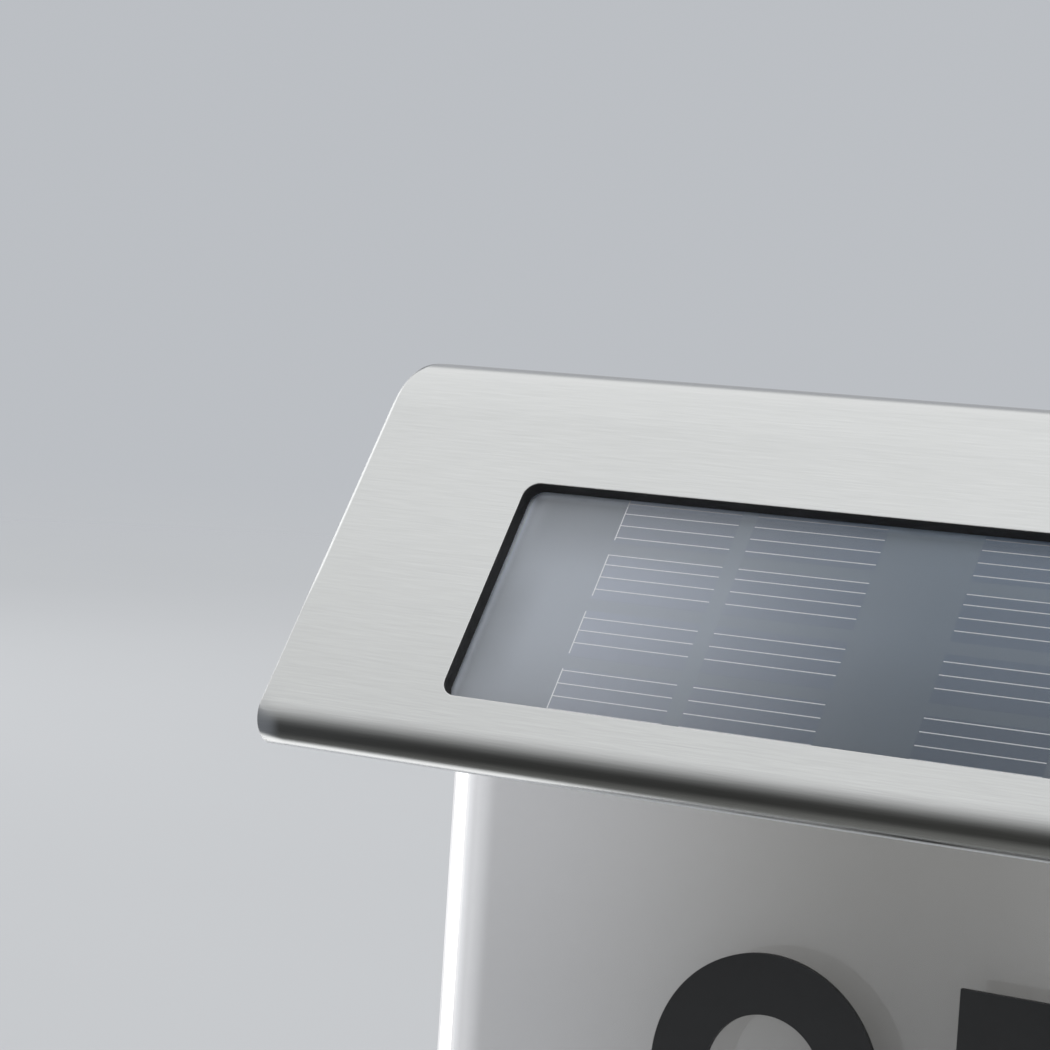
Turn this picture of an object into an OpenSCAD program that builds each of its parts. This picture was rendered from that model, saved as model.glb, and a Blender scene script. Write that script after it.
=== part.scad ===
// Solar house number light: a bent steel hood with a solar panel in its sloping roof,
// hung on a wall bracket, with an edge-lit number plate below it.
// Millimetres. The wall is the plane Y = 0, the light stands out towards -Y, +Z is up.
// The origin is on the wall, midway between the bracket's two slots.

/* [Hood] */
// Width of the hood
hood_w = 233; // [226:1:260]
// Thickness of the steel sheet
sheet_t = 1; // [0.8:0.1:1.4]
// Slope of the roof, from the horizontal
roof_angle = 56; // [52:1:60]
// Length of the flat roof between its two bends
roof_flat = 65.2; // [64.5:0.1:72]
// Outer radius of the large bend along the top
top_bend_r = 17.7; // [15:0.1:20]
// Outer radius of the bend along the lower edge
low_bend_r = 5.3; // [4.5:0.1:7]
// Outer radius of the fold into the back leg
fold_r = 2; // [1.6:0.1:3]
// Length of the return lip under the roof's lower bend
lip_len = 8; // [5:0.5:12]
// How far the back leg reaches below the bracket's slots
leg_drop = 20; // [17:0.5:24]
// Height of the hood's top above the bracket's slots
hood_rise = 30; // [28:0.5:34]

/* [Window] */
// Width of the window in the roof
window_w = 161; // [150:1:176]
// Height of the window along the slope
window_h = 44.7; // [38:0.1:45.5]
// Corner radius of the window
window_r = 3; // [1:0.5:6]
// Distance from the top bend down to the window
window_drop = 14.3; // [12:0.1:15]

/* [Solar panel] */
// How far the panel reaches under the sheet
panel_margin = 3.5; // [2.5:0.1:4]
// Thickness of the rubber gasket
gasket_t = 1.6; // [1:0.1:2.4]
// Thickness of the cover glass
glass_t = 1.2; // [0.8:0.1:2]
// Thickness of the cells
cell_t = 0.3; // [0.2:0.05:0.5]
// Thickness of the backing board
backing_t = 1.2; // [0.8:0.1:2]
// Length of one cell strip
cell_w = 52; // [45:0.5:56]
// Gap between one cell strip and the next
strip_gap = 2.4; // [1:0.1:3]
// Cell strips in a column
strips = 4; // [2:1:4]
// Distance between the two columns of cells
column_pitch = 69.8; // [60:0.1:76]
// How far the cells sit above the window's middle
cells_up = 0.8; // [0:0.1:1]
// Width of a column's ribbon
ribbon_w = 3; // [1.5:0.1:4]
// Thickness of a ribbon
ribbon_t = 0.2; // [0.1:0.05:0.3]
// Distance from a cell's left end to the ribbon
ribbon_in = 23.5; // [18:0.5:28]

/* [Number plate] */
// Width of the number plate
plate_w = 200; // [180:1:204]
// Height of the number plate
plate_h = 145; // [120:1:180]
// Thickness of the clear plate
plate_t = 8; // [6:0.5:9]
// Corner radius at the foot of the plate
plate_r = 2; // [1:0.5:10]
// Distance from the wall to the plate's front
plate_front = 18.4; // [17:0.1:22]
// Distance from the tongue's side to its screws
plate_screw_in = 12; // [10:1:16]
// Thickness of the metal plate behind it
back_plate_t = 1; // [0.8:0.1:1.2]
// Height of the tongue by which the housing holds the plate
plate_grip = 11; // [9:0.5:12]

/* [Numerals] */
// First figure
tens_figure = 2; // [0:1:9]
// Second figure
units_figure = 7; // [0:1:9]
// Height of a figure
figure_h = 78; // [60:1:90]
// Width of a figure
figure_w = 46; // [38:1:52]
// Width of a figure's stroke
stroke_w = 11; // [8:0.5:14]
// Thickness of a figure
figure_t = 1; // [0.5:0.1:2]
// Space between the two figures
figure_gap = 14; // [8:1:20]
// Distance from the figures' foot to the plate's foot
figure_foot = 18; // [12:1:24]

/* [Housing] */
// Wall of the housing
wall_t = 2; // [1.6:0.1:2.4]
// Floor of the housing
floor_t = 3; // [2.8:0.1:3.6]
// Thin walls inside the housing
rib_t = 1.6; // [1.2:0.1:2]
// Height of the floor above the hood's lowest line
floor_rise = 8; // [6:0.5:9]
// Height of the housing's top below the hood's top
top_room = 8; // [7:0.5:10]
// Sloping deck that carries the panel
deck_t = 2; // [1.6:0.1:2.4]
// Seal between the deck and the housing
seal_t = 0.8; // [0.5:0.1:1.2]
// Gap between the housing and the cheeks
side_gap = 0.5; // [0.3:0.1:1]
// Room for the screw posts at each end of the housing
post_room = 11.2; // [8:0.1:16]
// Wall left in front of the battery bay's upper edge
bay_cover = 1.1; // [0.8:0.1:3]

/* [Batteries] */
// Diameter of a battery
battery_d = 14.5; // [13.5:0.1:14.5]
// Length of a battery with its nub
battery_len = 50.5; // [44:0.1:50.5]
// Diameter of the nub
nub_d = 5.5; // [4:0.1:5.5]
// Height of the nub
nub_h = 1.2; // [0.8:0.1:1.5]
// Room for the contacts at the two ends of the bay
contact_room = 6; // [5:0.5:8]
// How far the battery bay sits to the left
bay_shift = 19.5; // [15:0.5:22]
// Thickness of the contact metal
contact_t = 0.4; // [0.3:0.05:0.6]
// Side of a contact
contact_size = 9; // [7:0.5:11]
// Room round a battery
bay_play = 0.4; // [0.3:0.1:0.6]

/* [Battery door] */
// Thickness of the door
door_t = 2; // [1.6:0.1:2.4]
// How far the door laps past the bay
door_lap = 1.5; // [1:0.1:2.5]
// Radius of the hinge knuckle
knuckle_r = 1.5; // [1.4:0.05:1.7]
// Radius of the hinge pins
pin_r = 0.95; // [0.8:0.05:1]
// Length of a hinge pin
pin_len = 4; // [3:0.5:6]
// Radius of the tab round the door's screw
tab_r = 4.2; // [3.6:0.1:5]
// Height of the door's seal
door_seal_h = 1.6; // [1:0.1:1.8]
// Radius of the door's screw
door_screw_r = 1.25; // [1:0.05:1.5]
// Radius of the head of the door's screw
door_head_r = 2.3; // [2:0.1:3]

/* [Electronics] */
// Width of the control board
board_w = 50; // [44:1:56]
// Height of the control board
board_h = 26; // [22:1:28]
// Thickness of the control board
board_t = 1.6; // [1:0.1:2]
// Length of the feet that carry the control board
board_stand = 2; // [1:0.1:3]
// Lights along the plate's upper edge
lights = 6; // [2:1:12]
// Width of a light
light_w = 2.8; // [2:0.1:4]
// Height of a light
light_h = 1.4; // [0.8:0.1:2]
// Gap between the lights and the plate
light_gap = 0.8; // [0.4:0.1:1.5]
// Width of the strip board that carries the lights
light_board_w = 6; // [5:0.5:8]
// Thickness of the strip board
light_board_t = 1.6; // [1:0.1:2]
// Distance from the tongue's side to the strip board's end
light_board_in = 5; // [3:0.5:8]
// Radius of a wire
wire_r = 0.9; // [0.6:0.1:1]

/* [Switch] */
// Place of the switch along the housing
switch_x = 62; // [56:1:68]
// Travel of the slider
switch_travel = 3; // [2:0.1:4]
// Length of the knob
knob_len = 4.4; // [3:0.1:6]
// Width of the knob
knob_w = 3.4; // [2.5:0.1:4]
// How far the knob stands out of the floor
knob_out = 1.5; // [1:0.1:2]
// Height of the switch's body
switch_h = 6; // [5:0.5:8]

/* [Wall bracket] */
// Width of the bracket
bracket_w = 170; // [164:1:180]
// Height of the bracket
bracket_h = 34; // [30:1:40]
// Thickness of the bracket
bracket_t = 1.5; // [1.2:0.1:2]
// Distance between the two slots for the wall screws
slot_spacing = 140; // [136:1:146]
// Length of a slot, end to end
slot_len = 10; // [7:0.5:14]
// Width of a slot
slot_w = 4.5; // [4:0.1:5.5]
// Distance between the two hooks
hook_spacing = 96; // [70:1:98]
// Width of a hook
hook_w = 12; // [8:1:14]
// Height of a hook's upright
hook_h = 8; // [6:0.5:9]
// Height of the hooks' seat above the slots
hook_seat = 5.5; // [4:0.5:7]

/* [Fits] */
// Gap between the bracket and the hood's back leg
hang_gap = 0.3; // [0.2:0.05:0.5]
// Gap round parts that move
move_gap = 0.3; // [0.2:0.05:0.4]
// Gap round parts that are pushed into place
seat_gap = 0.2; // [0.1:0.05:0.3]
// Gap round hinge pins and screws
pin_gap = 0.05; // [0.03:0.01:0.08]

/* [Hidden] */
$fn = 64;
EPS = 0.01;

steel = [0.77, 0.78, 0.78];
bright_steel = [0.86, 0.87, 0.88];
black_plastic = [0.10, 0.10, 0.11];
black_rubber = [0.05, 0.05, 0.05];
board_green = [0.10, 0.34, 0.20];

// Hood: heights of its bends and its lowest line
leg_y = -(bracket_t + hang_gap);
leg_in_y = leg_y - sheet_t;
leg_low = -leg_drop;
bend_z = hood_rise - top_bend_r;
roof_z = bend_z + top_bend_r * cos(roof_angle);
low_z = roof_z - roof_flat * sin(roof_angle) - low_bend_r * cos(roof_angle);
hood_low = low_z - low_bend_r;

// Panel: depths below the roof's face, and the panel's outline
glass_n = sheet_t + gasket_t;
cell_n = glass_n + glass_t;
backing_n = cell_n + cell_t;
deck_n = backing_n + backing_t;
seal_n = deck_n + deck_t;
joint_n = seal_n + seal_t;
panel_w = window_w + 2 * panel_margin;
panel_h = window_h + 2 * panel_margin;
window_u = -window_drop - window_h / 2;
strip_h = (window_h - (strips - 1) * strip_gap) / strips;
strip_pitch = strip_h + strip_gap;
tray_rim = 1.6;

// Housing: its faces, and the place of the plate's channel
base_w = hood_w - 2 * sheet_t - 2 * side_gap;
plate_back = plate_front - plate_t - back_plate_t;
plate_mid_y = -(plate_front - plate_t / 2);
back_in_y = -(plate_back - seat_gap);
back_out_y = back_in_y + wall_t;
floor_low = hood_low + floor_rise;
floor_top = floor_low + floor_t;
base_top = hood_rise - top_room;
channel_y = -(plate_front + seat_gap);
tongue_w = min(plate_w, base_w - 2 * (wall_t + post_room + rib_t + seat_gap));
channel_half = tongue_w / 2 + seat_gap;
bay_back = channel_y - rib_t;
plate_top = floor_low + plate_grip;
plate_foot = plate_top - plate_h;
channel_top = plate_top + light_gap + light_h + light_board_t;

// Battery bay and its door
battery_r = battery_d / 2;
bay_len = 2 * battery_len + contact_room;
bay_x0 = -bay_shift - bay_len / 2;
bay_x1 = -bay_shift + bay_len / 2;
battery_y = bay_back - bay_play - battery_r;
bay_front = battery_y - battery_r - bay_play;
battery_z = floor_low + door_t + door_seal_h + seat_gap + battery_r;
bay_top = battery_z + battery_r + bay_play;
dimple_h = 0.5;
battery_right_x = bay_x1 - contact_t - dimple_h - battery_len;
battery_left_x = battery_right_x - battery_len;
hinge_y = bay_back - move_gap - knuckle_r;
hinge_z = floor_low + knuckle_r;
door_x0 = bay_x0 - door_lap;
door_x1 = bay_x1 + door_lap;
door_front = bay_front - door_lap;
tab_y = door_front - tab_r + 0.7;
tab_x = (bay_x0 + bay_x1) / 2;
screw_swing = 0.5;
screw_boss_h = 4;

// Depth of the hood: the roof clears the upper edge of the battery bay
bay_u = (bay_top - roof_z + joint_n * cos(roof_angle)) / sin(roof_angle);
roof_y = bay_front - bay_cover - bay_u * cos(roof_angle) - joint_n * sin(roof_angle);
bend_y = roof_y + top_bend_r * sin(roof_angle);
low_y = roof_y - roof_flat * cos(roof_angle) + low_bend_r * sin(roof_angle);
lip_y = low_y + lip_len;

// Screws
screw_r = 1.5;
post_bite = 6;
head_r = 2.75;
head_h = 1.5;
boss_r = 3.2;
post_x = (channel_half + rib_t + base_w / 2 - wall_t) / 2;
post_ys = [bay_back - 4, bay_front - 6.5];
leg_screw_x = (bracket_w + base_w) / 4;
leg_screw_zs = [base_top - 6, channel_top + rib_t + 9.7];
plate_screw_x = tongue_w / 2 - plate_screw_in;
plate_screw_z = floor_low + plate_grip / 2;

// Control board, standing in front of the housing's back wall
led_wire_in = 12;
led_pad_in = 6;
led_wire_x = tongue_w / 2 - led_wire_in;
board_x0 = led_wire_x + led_pad_in - board_w;
board_low = channel_top + rib_t + 3;
board_y = back_in_y - board_stand;
board_face = board_y - board_t;

// Switch
switch_y = (bay_back + bay_front) / 2;
switch_w = knob_len + switch_travel + 6;
switch_d = knob_w + 4;
slider_foot = 1.4;
slider_foot_h = 1.6;

// Wires
wire_sides = 8;
wire_steps = 4;
panel_pad_in = 16;
panel_pad_up = 4;
wire_hole = wire_r + 1.2;
panel_wire_x = board_x0 + panel_pad_in;
panel_wire_u = window_u + panel_pad_up;
wire_exit_z = battery_z + contact_size / 2 - wire_r - 0.2;

// A shape drawn in the side view, drawn out along X about the middle
module along_x(w) {
    rotate([90, 0, 90])
        linear_extrude(height = w, center = true)
            children();
}

// A shape drawn in the front view, standing out from the plane Y = 0 towards the viewer
module towards_viewer(t) {
    rotate([90, 0, 0])
        linear_extrude(height = t)
            children();
}

// Places its children on the roof: x across, y up the slope, z out of the roof's face
module on_roof() {
    translate([0, roof_y, roof_z])
        rotate([roof_angle, 0, 0])
            children();
}

module rounded_rect(w, h, r) {
    square([w - 2 * r, h], center = true);
    square([w, h - 2 * r], center = true);
    for (x = [-1, 1], y = [-1, 1])
        translate([x * (w / 2 - r), y * (h / 2 - r)])
            circle(r = r);
}

// A box given by its two corners
module box(low, high) {
    translate(low)
        cube(high - low);
}

module round_x(x0, x1, y, z, r) {
    translate([x0, y, z])
        rotate([0, 90, 0])
            cylinder(r = r, h = x1 - x0);
}

module round_y(x, y0, y1, z, r) {
    translate([x, y0, z])
        rotate([-90, 0, 0])
            cylinder(r = r, h = y1 - y0);
}

module round_z(x, y, z0, z1, r) {
    translate([x, y, z0])
        cylinder(r = r, h = z1 - z0);
}

// The hood's side view, filled in, and drawn in by d from its outer face
module hood_side(d) {
    top_r = top_bend_r - d;
    low_r = low_bend_r - d;
    intersection() {
        translate([bend_y, bend_z])
            circle(r = top_r);
        translate([bend_y - 2 * top_r, bend_z - 2 * top_r])
            square([2 * top_r, 4 * top_r]);
    }
    translate([low_y, low_z])
        circle(r = low_r);
    translate([leg_y - fold_r, hood_rise - fold_r])
        circle(r = fold_r - d);
    polygon([
        [bend_y - top_r * sin(roof_angle), bend_z + top_r * cos(roof_angle)],
        [low_y - low_r * sin(roof_angle), low_z + low_r * cos(roof_angle)],
        [low_y, low_z - low_r],
        [leg_y - d, low_z - low_r],
        [leg_y - d, hood_rise - fold_r],
        [leg_y - fold_r, hood_rise - d],
        [bend_y, hood_rise - d]
    ]);
}

// Depth of a point of the side view along the slope, on the plane n below the roof's face
function slope_u(z, n) = (z - roof_z + n * cos(roof_angle)) / sin(roof_angle);

// Y of a point at height z on the plane n below the roof's face
function slope_y(z, n) = roof_y + slope_u(z, n) * cos(roof_angle) + n * sin(roof_angle);

// Everything below the plane n under the roof's face
module below_roof(n) {
    on_roof()
        translate([-hood_w, -3 * roof_flat, -n - 4 * roof_flat])
            cube([2 * hood_w, 6 * roof_flat, 4 * roof_flat]);
}

function wire_curve(a, b, c, d, t) =
    0.5 * (2 * b + (c - a) * t + (2 * a - 5 * b + 4 * c - d) * t * t
        + (3 * b - a - 3 * c + d) * t * t * t);

// Points along a wire that runs smoothly through the points given
function wire_points(p) =
    let (last = len(p) - 1)
    concat(
        [for (i = [0:last - 1], s = [0:wire_steps - 1])
            wire_curve(p[max(i - 1, 0)], p[i], p[i + 1], p[min(i + 2, last)], s / wire_steps)],
        [p[last]]
    );

function unit(v) = v / norm(v);

// A round tube along the points given, cut square to its first and last stretch
module wire(points) {
    p = wire_points(points);
    last = len(p) - 1;
    far = len(points) - 1;
    rings = [for (i = [0:last])
        let (
            along = unit(
                i == 0 ? points[1] - points[0]
                : i == last ? points[far] - points[far - 1]
                : p[i + 1] - p[i - 1]
            ),
            side = unit(cross(along, [0.3, 0.2, 1])),
            up = cross(side, along)
        )
        for (k = [0:wire_sides - 1])
            p[i] + wire_r * (cos(360 * k / wire_sides) * side + sin(360 * k / wire_sides) * up)];
    walls = [for (i = [0:last - 1], k = [0:wire_sides - 1])
        let (
            a = i * wire_sides + k,
            b = i * wire_sides + (k + 1) % wire_sides
        )
        each [[a, b, b + wire_sides], [a, b + wire_sides, a + wire_sides]]];
    first_end = [for (k = [1:wire_sides - 2]) [0, k + 1, k]];
    base = last * wire_sides;
    last_end = [for (k = [1:wire_sides - 2]) [base, base + k, base + k + 1]];
    polyhedron(points = rings, faces = concat(walls, first_end, last_end));
}

module pan_screw(length) {
    // Along -Z from the origin under the head, the head above it
    translate([0, 0, -length])
        cylinder(r = screw_r, h = length + EPS);
    difference() {
        cylinder(r = head_r, h = head_h);
        for (a = [0, 90])
            rotate([0, 0, a])
                translate([-head_r * 0.6, -0.4, head_h - 0.7])
                    cube([head_r * 1.2, 0.8, head_h]);
    }
}

// Wall bracket

module hook() {
    upright_y = leg_in_y - hang_gap;
    box([-hook_w / 2, upright_y - bracket_t, hook_seat - bracket_t],
        [hook_w / 2, -bracket_t + EPS, hook_seat]);
    box([-hook_w / 2, upright_y - bracket_t, hook_seat - EPS],
        [hook_w / 2, upright_y, hook_seat - bracket_t + hook_h]);
}

module wall_bracket() {
    color(steel) {
        difference() {
            towards_viewer(bracket_t)
                rounded_rect(bracket_w, bracket_h, 4);
            for (s = [-1, 1])
                translate([s * slot_spacing / 2, EPS, 0])
                    towards_viewer(bracket_t + 2 * EPS) {
                        square([slot_len - slot_w, slot_w], center = true);
                        for (e = [-1, 1])
                            translate([e * (slot_len - slot_w) / 2, 0])
                                circle(d = slot_w);
                    }
        }
        for (s = [-1, 1])
            translate([s * hook_spacing / 2, 0, 0])
                hook();
    }
}

// Hood

module hood() {
    slot_rise = hook_h + 2;
    color(steel)
        difference() {
            along_x(hood_w)
                difference() {
                    hood_side(0);
                    hood_side(sheet_t);
                    // Open underside, between the lip and the back leg
                    translate([lip_y, hood_low - 1])
                        square([leg_y - lip_y + 1, leg_low - hood_low + 1]);
                }
            on_roof()
                translate([0, window_u, -sheet_t - 1])
                    linear_extrude(height = sheet_t + 2)
                        rounded_rect(window_w, window_h, window_r);
            // Slots for the bracket's hooks
            for (s = [-1, 1])
                box([s * hook_spacing / 2 - hook_w / 2 - 1, leg_in_y - 1, hook_seat - slot_rise],
                    [s * hook_spacing / 2 + hook_w / 2 + 1, leg_y + 1, hook_seat]);
            // Windows that clear the heads of the wall screws
            for (s = [-1, 1])
                translate([s * slot_spacing / 2, leg_y + 1, -hook_h / 2])
                    towards_viewer(sheet_t + 2)
                        rounded_rect(slot_len + 8, hook_h + 12, 4);
            // Holes for the hood's own screws
            for (s = [-1, 1], z = leg_screw_zs)
                round_y(s * leg_screw_x, leg_in_y - 1, leg_y + 1, z, screw_r + pin_gap);
        }
}

module cheek() {
    rotate([90, 0, 90])
        linear_extrude(height = sheet_t)
            hood_side(sheet_t);
}

module left_cheek() {
    color(steel)
        translate([-hood_w / 2, 0, 0])
            cheek();
}

module right_cheek() {
    color(steel)
        translate([hood_w / 2 - sheet_t, 0, 0])
            cheek();
}

// Solar panel

module panel_layer(n, t) {
    on_roof()
        translate([0, window_u, -n - t])
            linear_extrude(height = t)
                children();
}

module window_gasket() {
    color(black_rubber)
        panel_layer(sheet_t, gasket_t)
            difference() {
                rounded_rect(panel_w, panel_h, window_r);
                rounded_rect(window_w, window_h, window_r);
            }
}

module panel_glass() {
    color([0.62, 0.68, 0.74, 0.5])
        panel_layer(glass_n, glass_t)
            rounded_rect(panel_w, panel_h, window_r);
}

module solar_cells() {
    color([0.24, 0.27, 0.33])
        panel_layer(cell_n, cell_t)
            for (c = [-0.5, 0.5], s = [0:strips - 1])
                translate([c * column_pitch, cells_up + (s - (strips - 1) / 2) * strip_pitch])
                    difference() {
                        square([cell_w, strip_h], center = true);
                        // The ribbon lies in this channel
                        translate([ribbon_in - cell_w / 2, -strip_h])
                            square([ribbon_w, 2 * strip_h]);
                    }
}

module cell_ribbons() {
    ribbon_len = (strips - 1) * strip_pitch + strip_h;
    color([0.50, 0.52, 0.54])
        panel_layer(cell_n, ribbon_t)
            for (c = [-0.5, 0.5])
                translate([c * column_pitch + ribbon_in - cell_w / 2, cells_up - ribbon_len / 2])
                    square([ribbon_w, ribbon_len]);
}

module panel_backing() {
    color([0.30, 0.31, 0.33])
        panel_layer(backing_n, backing_t)
            rounded_rect(panel_w, panel_h, window_r);
}

// Housing

module screw_posts(r, z0) {
    intersection() {
        for (s = [-1, 1], y = post_ys)
            round_z(s * post_x, y, z0, hood_rise, r);
        below_roof(seal_n - EPS);
    }
}

module panel_tray() {
    deck_up = slope_u(base_top, joint_n);
    deck_down = window_u - panel_h / 2 - seat_gap - tray_rim;
    color(black_plastic)
        difference() {
            union() {
                on_roof()
                    box([-base_w / 2, deck_down, -seal_n], [base_w / 2, deck_up, -deck_n]);
                on_roof()
                    translate([0, window_u, -deck_n - EPS])
                        linear_extrude(height = deck_n - sheet_t + EPS)
                            difference() {
                                square([panel_w + 2 * (seat_gap + tray_rim),
                                    panel_h + 2 * (seat_gap + tray_rim)], center = true);
                                square([panel_w + 2 * seat_gap, panel_h + 2 * seat_gap],
                                    center = true);
                            }
                screw_posts(boss_r, floor_top);
            }
            for (s = [-1, 1], y = post_ys)
                round_z(s * post_x, y, floor_top - 1, floor_top + post_bite + 2, screw_r + pin_gap);
            // Way through for the panel's wire
            on_roof()
                translate([panel_wire_x, panel_wire_u, -seal_n - 1])
                    cylinder(r = wire_hole, h = deck_t + 2);
        }
}

module housing_seal() {
    color(black_rubber)
        on_roof()
            translate([0, 0, -joint_n])
                linear_extrude(height = seal_t)
                    difference() {
                        translate([-base_w / 2, slope_u(floor_low, joint_n)])
                            square([base_w, slope_u(base_top, joint_n) - slope_u(floor_low, joint_n)]);
                        translate([-base_w / 2 + wall_t, slope_u(floor_top, joint_n)])
                            square([base_w - 2 * wall_t,
                                slope_u(base_top - wall_t, joint_n) - slope_u(floor_top, joint_n)]);
                    }
}

module housing_side() {
    polygon([
        [back_out_y, floor_low],
        [back_out_y, base_top],
        [slope_y(base_top, joint_n), base_top],
        [slope_y(floor_low, joint_n), floor_low]
    ]);
}

// Walls inside the housing, before their hollows are cut
module housing_inside() {
    channel_x = channel_half + rib_t;
    box([-channel_x, bay_back, floor_low], [channel_x, back_in_y + EPS, channel_top + rib_t]);
    intersection() {
        box([bay_x0 - rib_t, bay_front - rib_t, floor_low],
            [bay_x1 + rib_t, bay_back + EPS, bay_top + rib_t]);
        along_x(base_w)
            housing_side();
    }
    // Bosses over the hinge pins
    for (x = [door_x0 - pin_len - 1, door_x1])
        box([x, hinge_y - 2.5, floor_top - EPS], [x + pin_len + 1, bay_back + EPS, floor_top + 2]);
    // Boss for the door's screw
    round_z(tab_x, tab_y, floor_top - EPS, floor_top + screw_boss_h, boss_r);
    // Bosses for the plate's screws
    for (s = [-1, 1])
        round_y(s * plate_screw_x, bay_back - 3, bay_back + EPS, plate_screw_z, boss_r);
    // Feet of the control board
    for (x = [4, board_w - 4], z = [4, board_h - 4])
        round_y(board_x0 + x, board_y, back_in_y + EPS, board_low + z, 2);
}

module base_housing() {
    color(black_plastic)
        difference() {
            union() {
                difference() {
                    along_x(base_w)
                        housing_side();
                    box([-base_w / 2 + wall_t, -200, floor_top],
                        [base_w / 2 - wall_t, back_in_y, base_top - wall_t]);
                }
                housing_inside();
                // Bosses that carry the hood's back leg
                for (s = [-1, 1], z = leg_screw_zs)
                    round_y(s * leg_screw_x, back_out_y - EPS, leg_in_y, z, boss_r);
            }
            // Channel for the two plates and the strip of lights
            box([-channel_half, channel_y, floor_low - 1], [channel_half, back_in_y, channel_top]);
            // Battery bay and the opening that the door fills
            box([bay_x0, bay_front, floor_low], [bay_x1, bay_back, bay_top]);
            box([door_x0, door_front, floor_low - 1], [door_x1, bay_back, floor_top]);
            box([door_x0, hinge_y - knuckle_r - move_gap, floor_low - 1],
                [door_x1, bay_back, hinge_z + knuckle_r + move_gap]);
            round_z(tab_x, tab_y, floor_low - 1, floor_low + door_t + seat_gap, tab_r + move_gap);
            box([tab_x - tab_r - move_gap, tab_y, floor_low - 1],
                [tab_x + tab_r + move_gap, door_front + 1, floor_low + door_t + seat_gap]);
            round_z(tab_x, tab_y, floor_low, floor_top + screw_boss_h + 1, door_screw_r + screw_swing);
            round_x(door_x0 - pin_len - 2 * move_gap, door_x1 + pin_len + 2 * move_gap,
                hinge_y, hinge_z, pin_r + pin_gap);
            // Slot for the switch's knob
            box([switch_x - knob_len / 2 - move_gap, switch_y - knob_w / 2 - move_gap, floor_low - 1],
                [switch_x + knob_len / 2 + switch_travel + move_gap,
                    switch_y + knob_w / 2 + move_gap, floor_top + 1]);
            // Holes for screws
            for (s = [-1, 1], y = post_ys)
                round_z(s * post_x, y, floor_low - 1, floor_top + 1, screw_r + pin_gap);
            for (s = [-1, 1], z = leg_screw_zs)
                round_y(s * leg_screw_x, back_in_y - 1, leg_y, z, screw_r + pin_gap);
            for (s = [-1, 1])
                round_y(s * plate_screw_x, bay_back - 4, back_out_y + 1, plate_screw_z,
                    screw_r + pin_gap);
            // Ways through for wires
            round_z(led_wire_x, plate_mid_y, channel_top - 1, channel_top + rib_t + 1, wire_hole);
            for (x = [bay_x0 - rib_t - 1, bay_x1 - 1])
                round_x(x, x + rib_t + 2, battery_y, wire_exit_z, wire_hole);
        }
}

// Electronics

module control_board() {
    color(board_green)
        box([board_x0, board_face, board_low], [board_x0 + board_w, board_y, board_low + board_h]);
}

module control_chip() {
    chip = 7;
    color(black_plastic)
        translate([board_x0 + 22, board_face, board_low + 12]) {
            box([0, -1.4, 0], [chip, 0, chip]);
            for (x = [1:2:5], z = [-0.8, chip])
                box([x, -0.5, z], [x + 0.8, 0, z + 0.8]);
        }
}

module charge_coil() {
    coil_r = 3.4;
    coil_h = 4;
    color([0.25, 0.22, 0.20])
        translate([led_wire_x - wire_r - coil_r - 0.7, board_face, board_low + 9])
            rotate([90, 0, 0])
                difference() {
                    cylinder(r = coil_r, h = coil_h);
                    difference() {
                        translate([0, 0, 0.8])
                            cylinder(r = coil_r + 1, h = coil_h - 1.6);
                        cylinder(r = coil_r - 0.6, h = coil_h);
                    }
                }
}

module smoothing_capacitor() {
    can_r = 2.5;
    color([0.72, 0.73, 0.75])
        translate([board_x0 + 10, board_face, board_low + 10])
            rotate([90, 0, 0]) {
                cylinder(r = can_r, h = 5.4);
                cylinder(r = can_r + 0.4, h = 0.8);
            }
}

module led_board() {
    half = tongue_w / 2 - light_board_in;
    color([0.88, 0.88, 0.86])
        box([-half, plate_mid_y - light_board_w / 2, channel_top - light_board_t],
            [half, plate_mid_y + light_board_w / 2, channel_top]);
}

module led_chips() {
    light_top = channel_top - light_board_t;
    light_pitch = tongue_w / lights;
    color([0.95, 0.90, 0.62])
        for (i = [0:lights - 1])
            translate([(i - (lights - 1) / 2) * light_pitch, 0, 0])
                box([-light_w / 2, plate_mid_y - light_w / 2, light_top - light_h],
                    [light_w / 2, plate_mid_y + light_w / 2, light_top]);
}

module switch_body() {
    room = slider_foot + move_gap;
    color([0.18, 0.18, 0.20])
        difference() {
            box([switch_x - switch_w / 2 + switch_travel / 2, switch_y - switch_d / 2, floor_top],
                [switch_x + switch_w / 2 + switch_travel / 2, switch_y + switch_d / 2,
                    floor_top + switch_h]);
            box([switch_x - knob_len / 2 - room, switch_y - knob_w / 2 - room, floor_top - 1],
                [switch_x + knob_len / 2 + switch_travel + room, switch_y + knob_w / 2 + room,
                    floor_top + move_gap + slider_foot_h + move_gap]);
        }
}

module switch_slider() {
    color([0.75, 0.75, 0.76]) {
        box([switch_x - knob_len / 2, switch_y - knob_w / 2, floor_low - knob_out],
            [switch_x + knob_len / 2, switch_y + knob_w / 2, floor_top + move_gap + EPS]);
        box([switch_x - knob_len / 2 - slider_foot, switch_y - knob_w / 2 - slider_foot,
                floor_top + move_gap],
            [switch_x + knob_len / 2 + slider_foot, switch_y + knob_w / 2 + slider_foot,
                floor_top + move_gap + slider_foot_h]);
    }
}

// Batteries and their contacts

module positive_contact() {
    // On the bay's right end, with a raised dimple that meets the nub
    color(bright_steel) {
        box([bay_x1 - contact_t, battery_y - contact_size / 2, battery_z - contact_size / 2],
            [bay_x1, battery_y + contact_size / 2, battery_z + contact_size / 2]);
        round_x(bay_x1 - contact_t - dimple_h, bay_x1 - contact_t + EPS, battery_y, battery_z, 2);
    }
}

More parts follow.
